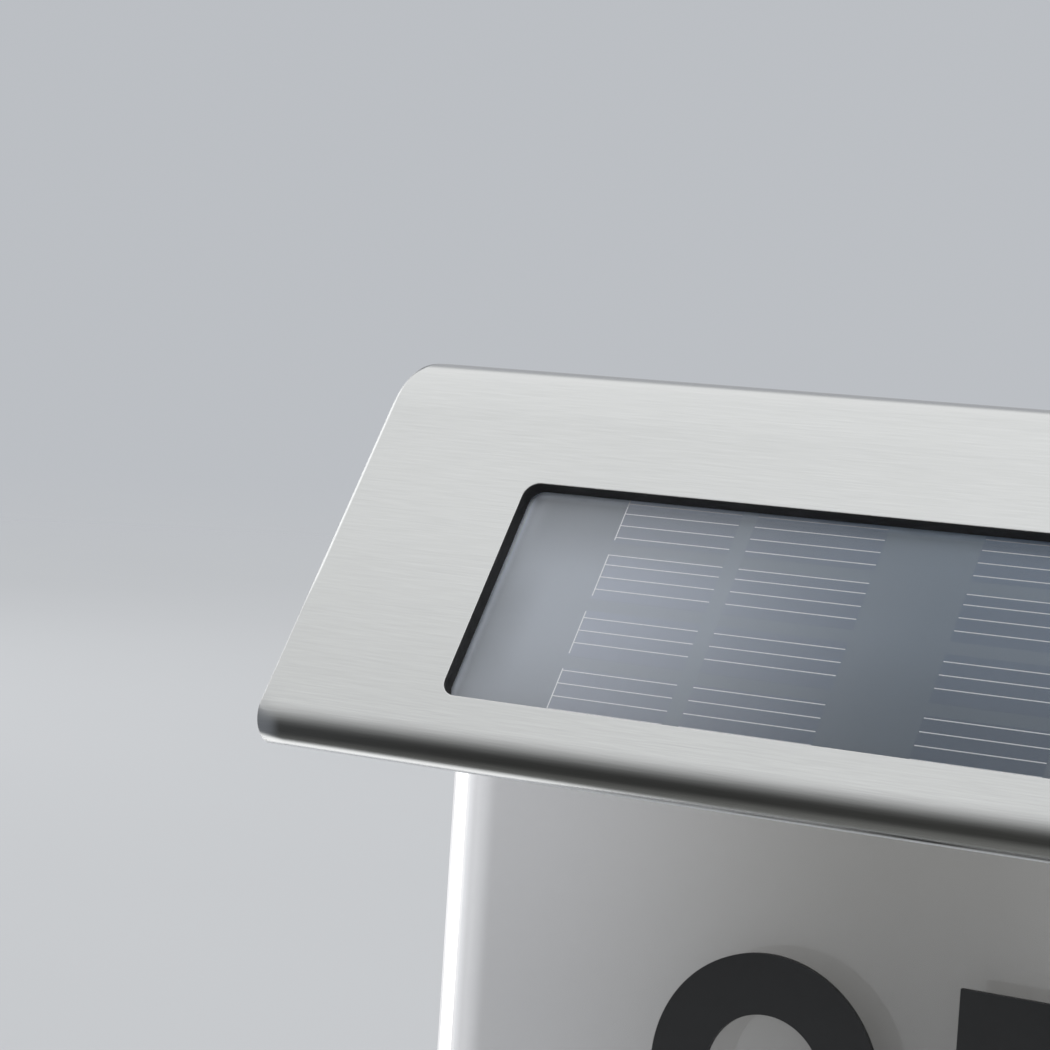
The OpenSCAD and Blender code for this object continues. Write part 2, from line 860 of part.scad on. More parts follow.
module spring_contact() {
    // A folded leaf between the bay's left end and the battery
    reach = battery_left_x - bay_x0;
    half = contact_size / 2;
    color(bright_steel)
        translate([bay_x0, battery_y - half, battery_z])
            rotate([-90, 0, 0])
                linear_extrude(height = contact_size)
                    polygon([
                        [0, -half],
                        [contact_t, -half],
                        [contact_t, half - 1],
                        [reach - contact_t, 0],
                        [contact_t + 0.5, -half + 1.5],
                        [contact_t + 0.5, -half + 0.8],
                        [reach, -0.4],
                        [reach, 0.4],
                        [contact_t, half],
                        [0, half]
                    ]);
}

module battery(x) {
    round_x(x, x + battery_len - nub_h, battery_y, battery_z, battery_r);
    round_x(x + battery_len - nub_h - EPS, x + battery_len, battery_y, battery_z, nub_d / 2);
}

module battery_left() {
    color([0.20, 0.45, 0.30])
        battery(battery_left_x);
}

module battery_right() {
    color([0.20, 0.45, 0.30])
        battery(battery_right_x);
}

// Wires, through points chosen by hand between the pieces that they join

module panel_wire() {
    panel_in = [0, sin(roof_angle), -cos(roof_angle)];
    start = [panel_wire_x, roof_y, roof_z]
        + panel_wire_u * [0, cos(roof_angle), sin(roof_angle)] + deck_n * panel_in;
    color([0.70, 0.12, 0.10])
        wire([
            start,
            start + 5 * panel_in,
            [panel_wire_x, board_face - 5, board_low + 17],
            [panel_wire_x, board_face, board_low + 17]
        ]);
}

module battery_wires() {
    color([0.12, 0.12, 0.13]) {
        // From the contact at the bay's right end
        wire([
            [bay_x1, battery_y, wire_exit_z],
            [bay_x1 + rib_t + 5, battery_y, wire_exit_z],
            [board_x0 + 4, board_face - 5, board_low + 6],
            [board_x0 + 4, board_face, board_low + 6]
        ]);
        // From the contact at the bay's left end, over the bay
        wire([
            [bay_x0, battery_y, wire_exit_z],
            [bay_x0 - rib_t - 4, battery_y, wire_exit_z],
            [bay_x0 - rib_t - 1, battery_y + 4, bay_top + rib_t + 3.5],
            [bay_x0 + 12, battery_y + 4, bay_top + rib_t + 2.2],
            [bay_x1 - 12, battery_y + 4, bay_top + rib_t + 2.2],
            [board_x0 + 4, board_face - 5, board_low + 20],
            [board_x0 + 4, board_face, board_low + 20]
        ]);
    }
}

module led_wire() {
    color([0.85, 0.84, 0.80])
        wire([
            [led_wire_x, plate_mid_y, channel_top],
            [led_wire_x, plate_mid_y, channel_top + rib_t + 1.2],
            [led_wire_x, board_face - 3.6, board_low + 5],
            [led_wire_x, board_face, board_low + 5]
        ]);
}

module switch_wire() {
    color([0.15, 0.20, 0.55])
        wire([
            [switch_x, switch_y, floor_top + switch_h],
            [switch_x, switch_y, floor_top + switch_h + 4],
            [switch_x, board_face - 5, board_low + 6],
            [switch_x, board_face, board_low + 6]
        ]);
}

// Plates and numerals

module plate_outline() {
    // A square tongue in the housing, and rounded corners at the foot
    shoulder = floor_low - move_gap;
    translate([-tongue_w / 2, shoulder - EPS])
        square([tongue_w, plate_top - shoulder + EPS]);
    translate([-plate_w / 2, plate_foot + plate_r])
        square([plate_w, shoulder - plate_foot - plate_r]);
    translate([-plate_w / 2 + plate_r, plate_foot])
        square([plate_w - 2 * plate_r, plate_r + EPS]);
    for (s = [-1, 1])
        translate([s * (plate_w / 2 - plate_r), plate_foot + plate_r])
            circle(r = plate_r);
}

module plate_layer(front, t) {
    difference() {
        translate([0, -front + t, 0])
            towards_viewer(t)
                plate_outline();
        for (s = [-1, 1])
            round_y(s * plate_screw_x, -front - 1, -front + t + 1, plate_screw_z, screw_r + pin_gap);
    }
}

module number_plate() {
    color([0.90, 0.93, 0.95, 0.6])
        plate_layer(plate_front, plate_t);
}

module back_plate() {
    color(steel)
        plate_layer(plate_front - plate_t, back_plate_t);
}

// A ring of the stroke's width, with its outer radius r
module stroke_ring(r) {
    difference() {
        circle(r = r);
        circle(r = r - stroke_w);
    }
}

// A long ring, w wide and h high, from its lower left corner
module long_ring(w, h) {
    difference() {
        long_round(w, h, 0);
        long_round(w, h, stroke_w);
    }
}

module long_round(w, h, d) {
    r = w / 2;
    for (y = [r, h - r])
        translate([r, y])
            circle(r = r - d);
    translate([d, r])
        square([w - 2 * d, h - w]);
}

// A straight stroke between two points on its middle line, cut square
module stroke(a, b) {
    run = b - a;
    translate(a)
        rotate(atan2(run[1], run[0]))
            translate([0, -stroke_w / 2])
                square([norm(run), stroke_w]);
}

module figure_one() {
    translate([figure_w / 2 - stroke_w / 2, 0])
        square([stroke_w, figure_h]);
    intersection() {
        stroke([figure_w / 2, figure_h - stroke_w / 2], [0, figure_h - stroke_w * 2.2]);
        square([figure_w / 2, figure_h]);
    }
}

module figure_two() {
    r = figure_w / 2;
    mid = figure_h - r;
    line_r = r - stroke_w / 2;
    // The neck's middle line touches the bow's middle line at this angle
    foot = [stroke_w / 4, stroke_w / 2];
    down = foot - [r, mid];
    touch = atan2(down[1], down[0]) + acos(line_r / norm(down));
    meet = [r, mid] + line_r * [cos(touch), sin(touch)];
    intersection() {
        translate([r, mid])
            stroke_ring(r);
        polygon([
            [r, mid],
            [r, mid] + 2 * r * [cos(touch), sin(touch)],
            [3 * r, figure_h + r],
            [-r, figure_h + r],
            [-r, mid]
        ]);
    }
    intersection() {
        stroke(foot - unit(meet - foot) * stroke_w, meet);
        square([figure_w, figure_h]);
    }
    square([figure_w, stroke_w]);
}

module figure_three() {
    low_r = (figure_h + stroke_w) / 4;
    for (y = [low_r, figure_h - low_r])
        intersection() {
            translate([figure_w - low_r, y])
                stroke_ring(low_r);
            union() {
                translate([figure_w - low_r, 0])
                    square([low_r, figure_h]);
                translate([0, y > low_r ? y : 0])
                    square([figure_w, low_r]);
            }
        }
}

module figure_four() {
    translate([figure_w - stroke_w * 2, 0])
        square([stroke_w, figure_h]);
    translate([0, figure_h * 0.24])
        square([figure_w, stroke_w]);
    intersection() {
        stroke([stroke_w * 0.2, figure_h * 0.24], [figure_w - stroke_w * 1.2, figure_h]);
        translate([0, figure_h * 0.24])
            square([figure_w - stroke_w, figure_h * 0.76]);
    }
}

module figure_five() {
    r = figure_w / 2;
    translate([0, figure_h - stroke_w])
        square([figure_w * 0.92, stroke_w]);
    translate([0, figure_w - stroke_w])
        square([stroke_w, figure_h - figure_w + stroke_w]);
    intersection() {
        translate([r, r])
            stroke_ring(r);
        union() {
            square([figure_w, r]);
            translate([r, 0])
                square([r, figure_w]);
        }
    }
    translate([0, figure_w - stroke_w])
        square([r + EPS, stroke_w]);
}

module figure_six() {
    r = figure_w / 2;
    translate([r, r])
        stroke_ring(r);
    translate([0, r])
        square([stroke_w, figure_h - figure_w]);
    intersection() {
        translate([r, figure_h - r])
            stroke_ring(r);
        translate([0, figure_h - r])
            square([figure_w, r]);
    }
}

module figure_seven() {
    translate([0, figure_h - stroke_w])
        square([figure_w, stroke_w]);
    intersection() {
        stroke([figure_w - stroke_w * 0.3, figure_h], [figure_w * 0.3, -stroke_w / 2]);
        square([figure_w, figure_h]);
    }
}

module figure_eight() {
    low_r = (figure_h + stroke_w) / 4;
    for (y = [low_r, figure_h - low_r])
        translate([figure_w / 2, y])
            stroke_ring(low_r);
}

module figure_nine() {
    translate([figure_w, figure_h])
        rotate(180)
            figure_six();
}

// A plain figure, from its lower left corner
module figure(value) {
    digit = floor(value) % 10;
    if (digit == 0) long_ring(figure_w, figure_h);
    if (digit == 1) figure_one();
    if (digit == 2) figure_two();
    if (digit == 3) figure_three();
    if (digit == 4) figure_four();
    if (digit == 5) figure_five();
    if (digit == 6) figure_six();
    if (digit == 7) figure_seven();
    if (digit == 8) figure_eight();
    if (digit == 9) figure_nine();
}

module numeral(value, x) {
    color([0.12, 0.13, 0.15])
        translate([x, -plate_front, plate_foot + figure_foot])
            towards_viewer(figure_t)
                figure(value);
}

module tens_numeral() {
    numeral(tens_figure, -figure_gap / 2 - figure_w);
}

module units_numeral() {
    numeral(units_figure, figure_gap / 2);
}

module wall_bumpers() {
    bumper_r = 6;
    color(black_rubber)
        for (s = [-1, 1])
            round_y(s * (plate_w / 2 - 15), -plate_back, 0, plate_foot + 15, bumper_r);
}

// Screws

module plate_screws() {
    color(bright_steel)
        for (s = [-1, 1])
            translate([s * plate_screw_x, back_out_y, plate_screw_z])
                rotate([-90, 0, 0])
                    pan_screw(back_out_y - bay_back + 2);
}

module hood_screws() {
    color(bright_steel)
        for (s = [-1, 1], z = leg_screw_zs)
            translate([s * leg_screw_x, leg_y, z])
                rotate([-90, 0, 0])
                    pan_screw(leg_y - back_in_y - seat_gap);
}

module housing_screws() {
    color(bright_steel)
        for (s = [-1, 1], y = post_ys)
            translate([s * post_x, y, floor_low])
                rotate([180, 0, 0])
                    pan_screw(floor_t + post_bite);
}

// Battery door

module battery_door() {
    color(black_plastic)
        difference() {
            union() {
                box([door_x0 + move_gap, door_front + move_gap, floor_low],
                    [door_x1 - move_gap, hinge_y, floor_low + door_t]);
                round_x(door_x0 + move_gap, door_x1 - move_gap, hinge_y, hinge_z, knuckle_r);
                round_x(door_x0 - pin_len, door_x1 + pin_len, hinge_y, hinge_z, pin_r);
                round_z(tab_x, tab_y, floor_low, floor_low + door_t, tab_r);
                box([tab_x - tab_r, tab_y, floor_low],
                    [tab_x + tab_r, door_front + move_gap + 1, floor_low + door_t]);
            }
            round_z(tab_x, tab_y, floor_low - 1, floor_low + door_t + 1, door_screw_r + pin_gap);
        }
}

module door_seal() {
    seal_w = 1.2;
    gap = 2 * move_gap;
    back = hinge_y - knuckle_r - move_gap;
    color(black_rubber)
        difference() {
            box([bay_x0 + gap, bay_front + gap, floor_low + door_t],
                [bay_x1 - gap, back, floor_low + door_t + door_seal_h]);
            box([bay_x0 + gap + seal_w, bay_front + gap + seal_w, floor_low + door_t - 1],
                [bay_x1 - gap - seal_w, back - seal_w, floor_low + door_t + door_seal_h + 1]);
        }
}

module door_screw() {
    color(bright_steel)
        translate([tab_x, tab_y, floor_low]) {
            translate([0, 0, -EPS])
                cylinder(r = door_screw_r, h = floor_t + 2);
            difference() {
                translate([0, 0, -head_h])
                    cylinder(r = door_head_r, h = head_h);
                translate([-3, -0.4, -head_h - 1])
                    cube([6, 0.8, 1.6]);
            }
        }
}

wall_bracket();
hood();
left_cheek();
right_cheek();
window_gasket();
panel_glass();
solar_cells();
cell_ribbons();
panel_backing();
panel_tray();
housing_seal();
base_housing();
control_board();
control_chip();
charge_coil();
smoothing_capacitor();
led_board();
led_chips();
switch_body();
switch_slider();
positive_contact();
spring_contact();
battery_left();
battery_right();
panel_wire();
battery_wires();
led_wire();
switch_wire();
number_plate();
back_plate();
tens_numeral();
units_numeral();
wall_bumpers();
plate_screws();
hood_screws();
housing_screws();
battery_door();
door_seal();
door_screw();
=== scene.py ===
"""Looks of the solar house number light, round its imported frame."""

import math

import bmesh
import bpy
from mathutils import Matrix, Vector


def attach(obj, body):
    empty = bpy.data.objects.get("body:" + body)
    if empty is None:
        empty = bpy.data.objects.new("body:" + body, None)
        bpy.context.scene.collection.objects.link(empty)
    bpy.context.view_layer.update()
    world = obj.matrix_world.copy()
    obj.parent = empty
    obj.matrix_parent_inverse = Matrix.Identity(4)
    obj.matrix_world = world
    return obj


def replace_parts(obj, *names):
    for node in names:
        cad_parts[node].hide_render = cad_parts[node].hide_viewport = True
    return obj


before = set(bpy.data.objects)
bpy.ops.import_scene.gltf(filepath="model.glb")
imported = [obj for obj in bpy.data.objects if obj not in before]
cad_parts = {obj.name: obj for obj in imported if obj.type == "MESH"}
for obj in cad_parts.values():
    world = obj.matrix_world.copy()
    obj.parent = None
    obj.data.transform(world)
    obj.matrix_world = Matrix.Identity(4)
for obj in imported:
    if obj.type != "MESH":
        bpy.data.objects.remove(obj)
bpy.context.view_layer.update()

MM = 0.001
SHARP_OVER = math.radians(35)

# Places of the roof, in mm, as in the part's source
ROOF_ANGLE = math.radians(56)
WINDOW_CORNER = Vector((-80.5, -30.343, 10.342))
WINDOW_W = 161
WINDOW_H = 44.7
WINDOW_R = 3
UP_SLOPE = Vector((0, math.cos(ROOF_ANGLE), math.sin(ROOF_ANGLE)))
OUTWARD = Vector((0, -math.sin(ROOF_ANGLE), math.cos(ROOF_ANGLE)))
HOOD_END = 116.5

# Lower edge of the hood, in mm: where the cut lip starts, downwards and to the front. The lip is painted
# near white there, a painted highlight
LIP_HIGH = -39.2
LIP_LOW = -39.8
LIP_BACK = -52.6
LIP_FRONT = -53.6

# Layers of the window, in mm out of the roof's face
GASKET_LOW = -2.6
GLASS_TOP = -2.63
GLASS_LOW = -3.74
CELL_FACE = -3.8
FILM_TOP = -3.815
FILM_T = 0.26

# How far the cover glass reaches past the window, and its ground edge. The film ends where that edge starts
SHEET_REACH = 3.45
SHEET_EDGE = 0.25

# Height of the cells' face straight under the window's upper edge
PANEL_TOP = 8.217

# Liner of the window: pairs of how far it is set in from the cut edge and its height
LINER_SECTION = (
    (0.01, -0.14), (0.03, -0.09), (0.06, -0.10), (0.08, -0.16),
    (0.10, -1.2), (0.12, GASKET_LOW + 0.25), (0.24, GASKET_LOW + 0.02), (0.01, GASKET_LOW + 0.02),
)

# Printed silver lines of the cells, in mm from the window's top left corner
COLUMN_STARTS = (19.6, 89.4)
HALF_A = (0.15, 23.4)
HALF_B = (26.6, 51.85)
BUS_SPANS = ((0.6, -8.0), (-11.1, -19.7), (-22.9, -31.6), (-34.7, -43.6))
FINGER_ROWS = (
    -0.25, -2.4, -4.88, -7.41, -11.12, -13.15, -15.72, -18.28,
    -24.24, -26.82, -29.39, -35.07, -37.65, -40.24, -42.84,
)
FINGER_W = 0.2
FINGER_RISE = 0.03
BUS_W = 0.24
BUS_RISE = 0.039

# Clear plate, in mm
PLATE_W = 200
PLATE_TOP = -21.119
PLATE_FOOT = -166.119
PLATE_FRONT = -18.4
PLATE_BACK = -10.44
PLATE_R = 2
PLATE_SCREW_X = 88
PLATE_SCREW_Z = -26.62
PLATE_HOLE_R = 1.75
PLATE_EDGE_R = 0.174
CORNER_STEPS = 8
HOLE_STEPS = 32
SCRIBED_MIDDLE_Y = -15.6
SCRIBED_BACK_Y = -12.8
BACK_PLATE_FRONT = -10.4

# Inner pieces, in mm: where their finishes change
BOARD_MIDDLE_Y = -12
BOARD_HALF_T = 0.72
CHIP_FACE_Z = -20.2
CAN_END_Y = -18.1
CAN_STRIPE_X = 52.2
BATTERY_START_X = -67.9
BATTERY_LEN = 50.5
BATTERY_AXIS_Y = -27.85
BATTERY_AXIS_Z = -21.07
BATTERY_BARE_R = 6.0

# Camera at the photograph's viewing angle: its place and directions, and its lens and sensor, in mm
CAMERA_PLACE = Vector((236.18, -539.03, 42.40))
CAMERA_RIGHT = Vector((0.84497, 0.53097, 0.06404))
CAMERA_UP = Vector((-0.08953, 0.02238, 0.99573))
CAMERA_BACK = Vector((0.52727, -0.84710, 0.06645))
CAMERA_LENS = 113.14
CAMERA_SENSOR = 36

# Studio: colours where 1 is white, and lengths in metres
FLOOR_HALF = 9
FLOOR_FADE = (0.9, 3.2)
FLOOR_COLOUR = (0.56, 0.575, 0.595)
BACKDROP_COLOUR = (0.50, 0.52, 0.55)
LAMP_TARGET = Vector((0, -0.03, -0.03))


class Value:
    """A number, colour or direction in a node tree, so that shader maths reads as plain arithmetic."""

    def __init__(self, nodes, socket):
        self.nodes = nodes
        self.socket = socket

    def maths(self, operation, first, second=0.0):
        return self.nodes.add("ShaderNodeMath", {"operation": operation}, {0: first, 1: second})

    def __add__(self, other):
        return self.maths("ADD", self, other)

    __radd__ = __add__

    def __sub__(self, other):
        return self.maths("SUBTRACT", self, other)

    def __rsub__(self, other):
        return self.maths("SUBTRACT", other, self)

    def __mul__(self, other):
        return self.maths("MULTIPLY", self, other)

    __rmul__ = __mul__

    def __truediv__(self, other):
        return self.maths("DIVIDE", self, other)

    def __pow__(self, other):
        return self.maths("POWER", self, other)

    def __gt__(self, other):
        return self.maths("GREATER_THAN", self, other)

    def __lt__(self, other):
        return self.maths("LESS_THAN", self, other)

    def __abs__(self):
        return self.maths("ABSOLUTE", self)

    def fraction(self):
        return self.maths("FRACT", self)

    def largest(self, other):
        return self.maths("MAXIMUM", self, other)

    def smallest(self, other):
        return self.maths("MINIMUM", self, other)


class Nodes:
    """The nodes of one finish or of the surroundings."""

    def __init__(self, tree):
        self.tree = tree
        tree.nodes.clear()

    def add(self, kind, settings=None, sockets=None, out=0):
        """One node: settings first, then the values or links of its sockets. Returns one output, if any."""
        made = self.tree.nodes.new(kind)
        for name, setting in (settings or {}).items():
            setattr(made, name, setting)
        for name, given in (sockets or {}).items():
            if isinstance(given, Value):
                self.tree.links.new(given.socket, made.inputs[name])
            else:
                made.inputs[name].default_value = given
        return Value(self, made.outputs[out]) if made.outputs else None

    def place(self):
        """The place on the part, in metres."""
        return self.add("ShaderNodeTexCoord", out="Object")

    def parts(self, vector):
        """The three numbers of a place or direction."""
        split = self.add("ShaderNodeSeparateXYZ", sockets={0: vector}, out="X")
        outputs = split.socket.node.outputs
        return split, Value(self, outputs["Y"]), Value(self, outputs["Z"])

    def stretched(self, place, x, y, z):
        """A place whose three numbers are multiplied, each by its own."""
        return self.add("ShaderNodeVectorMath", {"operation": "MULTIPLY"}, {0: place, 1: (x, y, z)})

    def dot(self, first, second):
        """How far one direction goes along the other."""
        sockets = {0: first, 1: second}
        return self.add("ShaderNodeVectorMath", {"operation": "DOT_PRODUCT"}, sockets, out="Value")

    def noise(self, place, scale, detail=2.0, rough=0.5):
        """Cloudy noise about 0.5, repeated as often in a metre as scale says."""
        return self.add(
            "ShaderNodeTexNoise",
            {"noise_dimensions": "3D"},
            {"Vector": place, "Scale": scale, "Detail": detail, "Roughness": rough},
        )

    def cells(self, place, scale, out="Distance"):
        """A pattern of cells: the distance to the middle of each, or its random colour."""
        return self.add("ShaderNodeTexVoronoi", {}, {"Vector": place, "Scale": scale}, out=out)

    def ease(self, value, low, high, start=0.0, end=1.0):
        """Goes smoothly from start to end as value goes from low to high."""
        return self.add(
            "ShaderNodeMapRange",
            {"interpolation_type": "SMOOTHSTEP"},
            {"Value": value, "From Min": low, "From Max": high, "To Min": start, "To Max": end},
        )

    def blend(self, share, first, second):
        """From the first colour to the second."""
        return self.add(
            "ShaderNodeMix",
            {"data_type": "RGBA"},
            {0: share, 6: rgba(first), 7: rgba(second)},
            out=2,
        )

    def tint(self, colour, amount):
        """A colour made lighter or darker by a number."""
        return self.add(
            "ShaderNodeVectorMath",
            {"operation": "SCALE"},
            {0: colour if isinstance(colour, Value) else tuple(colour), "Scale": amount},
        )

    def bump(self, height, rounding=None):
        """Relief of a height in metres."""
        sockets = {"Height": height, "Distance": 1.0, "Strength": 1.0}
        if rounding is not None:
            sockets["Normal"] = rounding
        return self.add("ShaderNodeBump", {}, sockets)

    def rounding(self, radius):
        """Edges rounded over a radius in metres."""
        return self.add("ShaderNodeBevel", {"samples": 4}, {"Radius": radius})

    def seen(self):
        """1 for what the camera sees itself or through glass."""
        rays = self.add("ShaderNodeLightPath", out="Is Camera Ray")
        return rays.largest(Value(self, rays.socket.node.outputs["Is Transmission Ray"]))

    def edges(self, rounded):
        """1 along sharp edges and 0 on flat faces."""
        flat = self.add("ShaderNodeNewGeometry", out="Normal")
        return self.ease(self.dot(rounded, flat), 0.985, 0.8)


def rgba(colour):
    """A colour with its fourth number. A value stays as it is."""
    if isinstance(colour, Value):
        return colour
    return (*colour, 1.0) if len(colour) == 3 else colour


class Finish(Nodes):
    """One material of the part."""

    def __init__(self, name):
        self.material = bpy.data.materials.new(name)
        self.material.use_nodes = True
        super().__init__(self.material.node_tree)

    def done(self, **sockets):
        """The surface, from sockets named in small letters with underscores."""
        named = {}
        for name, given in sockets.items():
            words = name.replace("_", " ").title().replace("Ior", "IOR")
            named[words] = rgba(given) if "Color" in words else given
        shader = self.add("ShaderNodeBsdfPrincipled", {}, named)
        self.add("ShaderNodeOutputMaterial", {}, {"Surface": shader})
        return self.material


def brushed_steel(name, grain, contrast):
    """Brushed stainless steel, with painted shade darkening it towards its lower edge and a painted
    highlight on its lip and rims. Grain is how often the brushing repeats each metre along x, y and z.
    """
    f = Finish(name)
    place = f.place()
    x, y, z = f.parts(place)
    hair = f.noise(f.stretched(place, *grain), 1.0, 4.0, 0.65)
    streak = f.noise(f.stretched(place, *(g * 0.7 for g in grain)), 1.0, 3.0, 0.6)
    cloud = f.noise(place, 22, 2.0)
    scratch = f.ease(f.noise(f.stretched(place, *(g * 0.6 for g in grain)), 1.3, 1.0), 0.72, 0.80)
    rounded = f.rounding(0.35 * MM)
    edge = f.edges(rounded)
    # painted shade: the steel is painted darker towards the hood's lower edge
    lower = f.ease(z, 12 * MM, -40 * MM)
    brushing = 0.22 * (hair - 0.5) + 0.06 * (streak - 0.5) + 0.04 * scratch
    tone = 0.98 - 0.09 * lower + contrast * brushing + 0.05 * cloud
    steel = f.tint((0.645, 0.657, 0.655), tone)
    # painted highlight: the cut lip along the hood's lower edge is painted near white, matt and hardly
    # metallic
    painted_lip_highlight = f.ease(z, LIP_HIGH * MM, LIP_LOW * MM) * f.ease(y, LIP_BACK * MM, LIP_FRONT * MM)
    # sharp edges are painted lighter too: wear, and with it a painted highlight along the rims
    steel = f.blend((edge * 0.9).largest(painted_lip_highlight * 0.95), steel, (0.93, 0.94, 0.95))
    rough = 0.13 + 0.08 * hair + 0.03 * cloud - 0.03 * edge + 0.45 * painted_lip_highlight
    roll = (abs(x) - (HOOD_END - 5) * MM).largest(0.0)
    rim = (abs(x) - (HOOD_END - 0.8) * MM).largest(0.0)
    low_bend = f.ease(z, -30 * MM, -36 * MM)
    upper = f.ease(z, -20 * MM, -6 * MM)
    relief = (hair * 0.006 + streak * 0.004) * MM - roll * roll * low_bend * 26 - rim * rim * upper * 260
    return f.done(
        base_color=steel,
        metallic=1 - 0.95 * painted_lip_highlight,
        roughness=rough,
        normal=f.bump(relief, rounded),
    )


def bracket_steel():
    """Zinc-plated sheet with a fine spangle."""
    f = Finish("bracket_zinc")
    place = f.place()
    spangle = f.cells(place, 420, out="Color")
    shade = f.dot(spangle, (0.33, 0.33, 0.33))
    cloud = f.noise(place, 60, 3.0)
    rounded = f.rounding(0.3 * MM)
    edge = f.edges(rounded)
    tone = 0.82 + 0.14 * shade + 0.14 * cloud
    zinc = f.blend(edge * 0.6, f.tint((0.52, 0.535, 0.55), tone), (0.72, 0.73, 0.74))
    rough = 0.36 + 0.12 * shade + 0.08 * cloud - 0.08 * edge
    return f.done(
        base_color=zinc,
        metallic=1.0,
        roughness=rough,
        normal=f.bump(cloud * 0.02 * MM, rounded),
    )


def machined_steel(name, colour, turned):
    """Small steel pieces with fine turning marks, repeated as often as turned says."""
    f = Finish(name)
    place = f.place()
    marks = f.noise(f.stretched(place, *turned), 1.0, 3.0)
    cloud = f.noise(place, 300, 2.0)
    rounded = f.rounding(0.15 * MM)
    edge = f.edges(rounded)
    tone = 0.86 + 0.14 * marks + 0.1 * cloud
    steel = f.blend(edge * 0.6, f.tint(colour, tone), (0.85, 0.86, 0.87))
    return f.done(
        base_color=steel,
        metallic=1.0,
        roughness=0.22 + 0.14 * marks + 0.06 * cloud - 0.05 * edge,
        normal=f.bump(marks * 0.01 * MM, rounded),
    )


def black_rubber():
    """Moulded rubber, matt, with a fine bloom."""
    f = Finish("black_rubber")
    place = f.place()
    fine = f.noise(place, 4200, 2.0)
    bloom = f.noise(place, 130, 4.0, 0.6)
    rounded = f.rounding(0.25 * MM)
    edge = f.edges(rounded)
    rubber = f.blend(f.ease(bloom, 0.45, 0.8) * 0.6 + edge * 0.3, (0.011, 0.011, 0.012), (0.03, 0.03, 0.032))
    return f.done(
        base_color=rubber,
        roughness=0.56 + 0.16 * bloom + 0.06 * fine,
        normal=f.bump(fine * 0.02 * MM + bloom * 0.03 * MM, rounded),
    )


def moulded_plastic(name, colour, worn, grain=2300, relief=0.028):
    """Moulded plastic with a spark-eroded grain and edges rubbed a little lighter."""
    f = Finish(name)
    place = f.place()
    spark = f.cells(place, grain)
    fine = f.noise(place, grain * 1.6, 2.0)
    flow = f.noise(f.stretched(place, 18, 45, 45), 1.0, 3.0)
    rounded = f.rounding(0.35 * MM)
    edge = f.edges(rounded)
    tone = 0.88 + 0.14 * fine + 0.16 * flow
    plastic = f.blend(edge * 0.5, f.tint(colour, tone), worn)
    return f.done(
        base_color=plastic,
        roughness=0.40 + 0.10 * fine + 0.12 * flow - 0.10 * edge,
        normal=f.bump((spark * relief + fine * relief * 0.5) * MM, rounded),
    )


def panel_glass():
    """Cover glass of the panel, very slightly wavy."""
    f = Finish("panel_glass")
    place = f.place()
    wave = f.noise(place, 60, 2.0)
    smear = f.noise(f.stretched(place, 30, 90, 90), 1.0, 4.0, 0.6)
    relief = f.bump(wave * 0.012 * MM)
    gloss = f.add("ShaderNodeFresnel", {}, {"IOR": 1.45, "Normal": relief})
    height = f.dot(place, tuple(OUTWARD)) - WINDOW_CORNER.dot(OUTWARD) * MM
    upper_face = height > (GLASS_TOP - 0.3) * MM
    return f.done(
        base_color=f.blend(smear, (0.90, 0.94, 0.97), (0.98, 0.99, 1.0)),
        metallic=1.0,
        roughness=0.08 + 0.08 * f.ease(smear, 0.4, 0.8),
        alpha=gloss * upper_face * 0.6,
        normal=relief,
    )


def panel_colour_with_painted_light(f, x, z, left, right):
    """The panel's grey with painted light and shade: a painted reflection makes it palest near its left end;
    painted shade darkens it near the top at the left, lower down and in a patch near the left end; painted
    light paler near the top at the right, in the top left corner and close to the window's sides and top.
    """
    # painted reflection: the pale left colour fades into the darker right one
    to_right = f.ease(x, -74 * MM, 12 * MM)
    top = f.ease(z, -6 * MM, 7 * MM)
    # painted shade: a darker patch near the left end, partway down
    painted_end_shade = f.ease(x, -69 * MM, -77 * MM) * f.ease(z, 0, -13 * MM) * f.ease(z, -31 * MM, -15 * MM)
    # painted light: the top left corner is painted paler
    corner = f.ease(x, -75.5 * MM, -80 * MM) * f.ease(z, -4 * MM, 5 * MM)
    # painted shade and light by height: at the left darker near the top and lower down, at the right paler
    # near the top and darker lower down
    left_shade = 1 - 0.29 * top - 0.12 * f.ease(z, -13 * MM, -26 * MM) - 0.17 * painted_end_shade + 0.26 * corner
    right_shade = 1 + 0.12 * top - 0.27 * f.ease(z, -6 * MM, -24 * MM)
    # painted light: paler close to the window's sides and top, where the gasket shades the cells
    below_top = (PANEL_TOP * MM - z) / math.sin(ROOF_ANGLE)
    inside = (WINDOW_W / 2 * MM - abs(x)).smallest(below_top)
    painted_edge_light = 1 + f.ease(inside, 1.5 * MM, -0.5 * MM)
    return f.tint(f.blend(to_right, f.tint(left, left_shade), f.tint(right, right_shade)), painted_edge_light)


def solar_cell():
    """Dark cell strips with a faint crystal mottle and fine print lines along x."""
    f = Finish("solar_cell")
    place = f.place()
    x, _, z = f.parts(place)
    mottle = f.cells(place, 520, out="Color")
    shade = f.dot(mottle, (0.33, 0.33, 0.33))
    cloud = f.noise(f.stretched(place, 22, 60, 60), 1.0, 3.0)
    line = f.noise(f.stretched(place, 20, 2600, 2600), 1.0, 1.0)
    tone = 0.93 + 0.02 * shade + 0.10 * cloud + 0.02 * line
    # the first colour, far paler than the second, is a painted reflection on the panel's left end
    cell = panel_colour_with_painted_light(f, x, z, (0.556, 0.592, 0.668), (0.210, 0.249, 0.309))
    return f.done(
        base_color=f.tint(cell, tone),
        roughness=0.40 + 0.10 * cloud + 0.03 * shade,
        specular_ior_level=0.0,
        normal=f.bump(line * 0.006 * MM),
    )


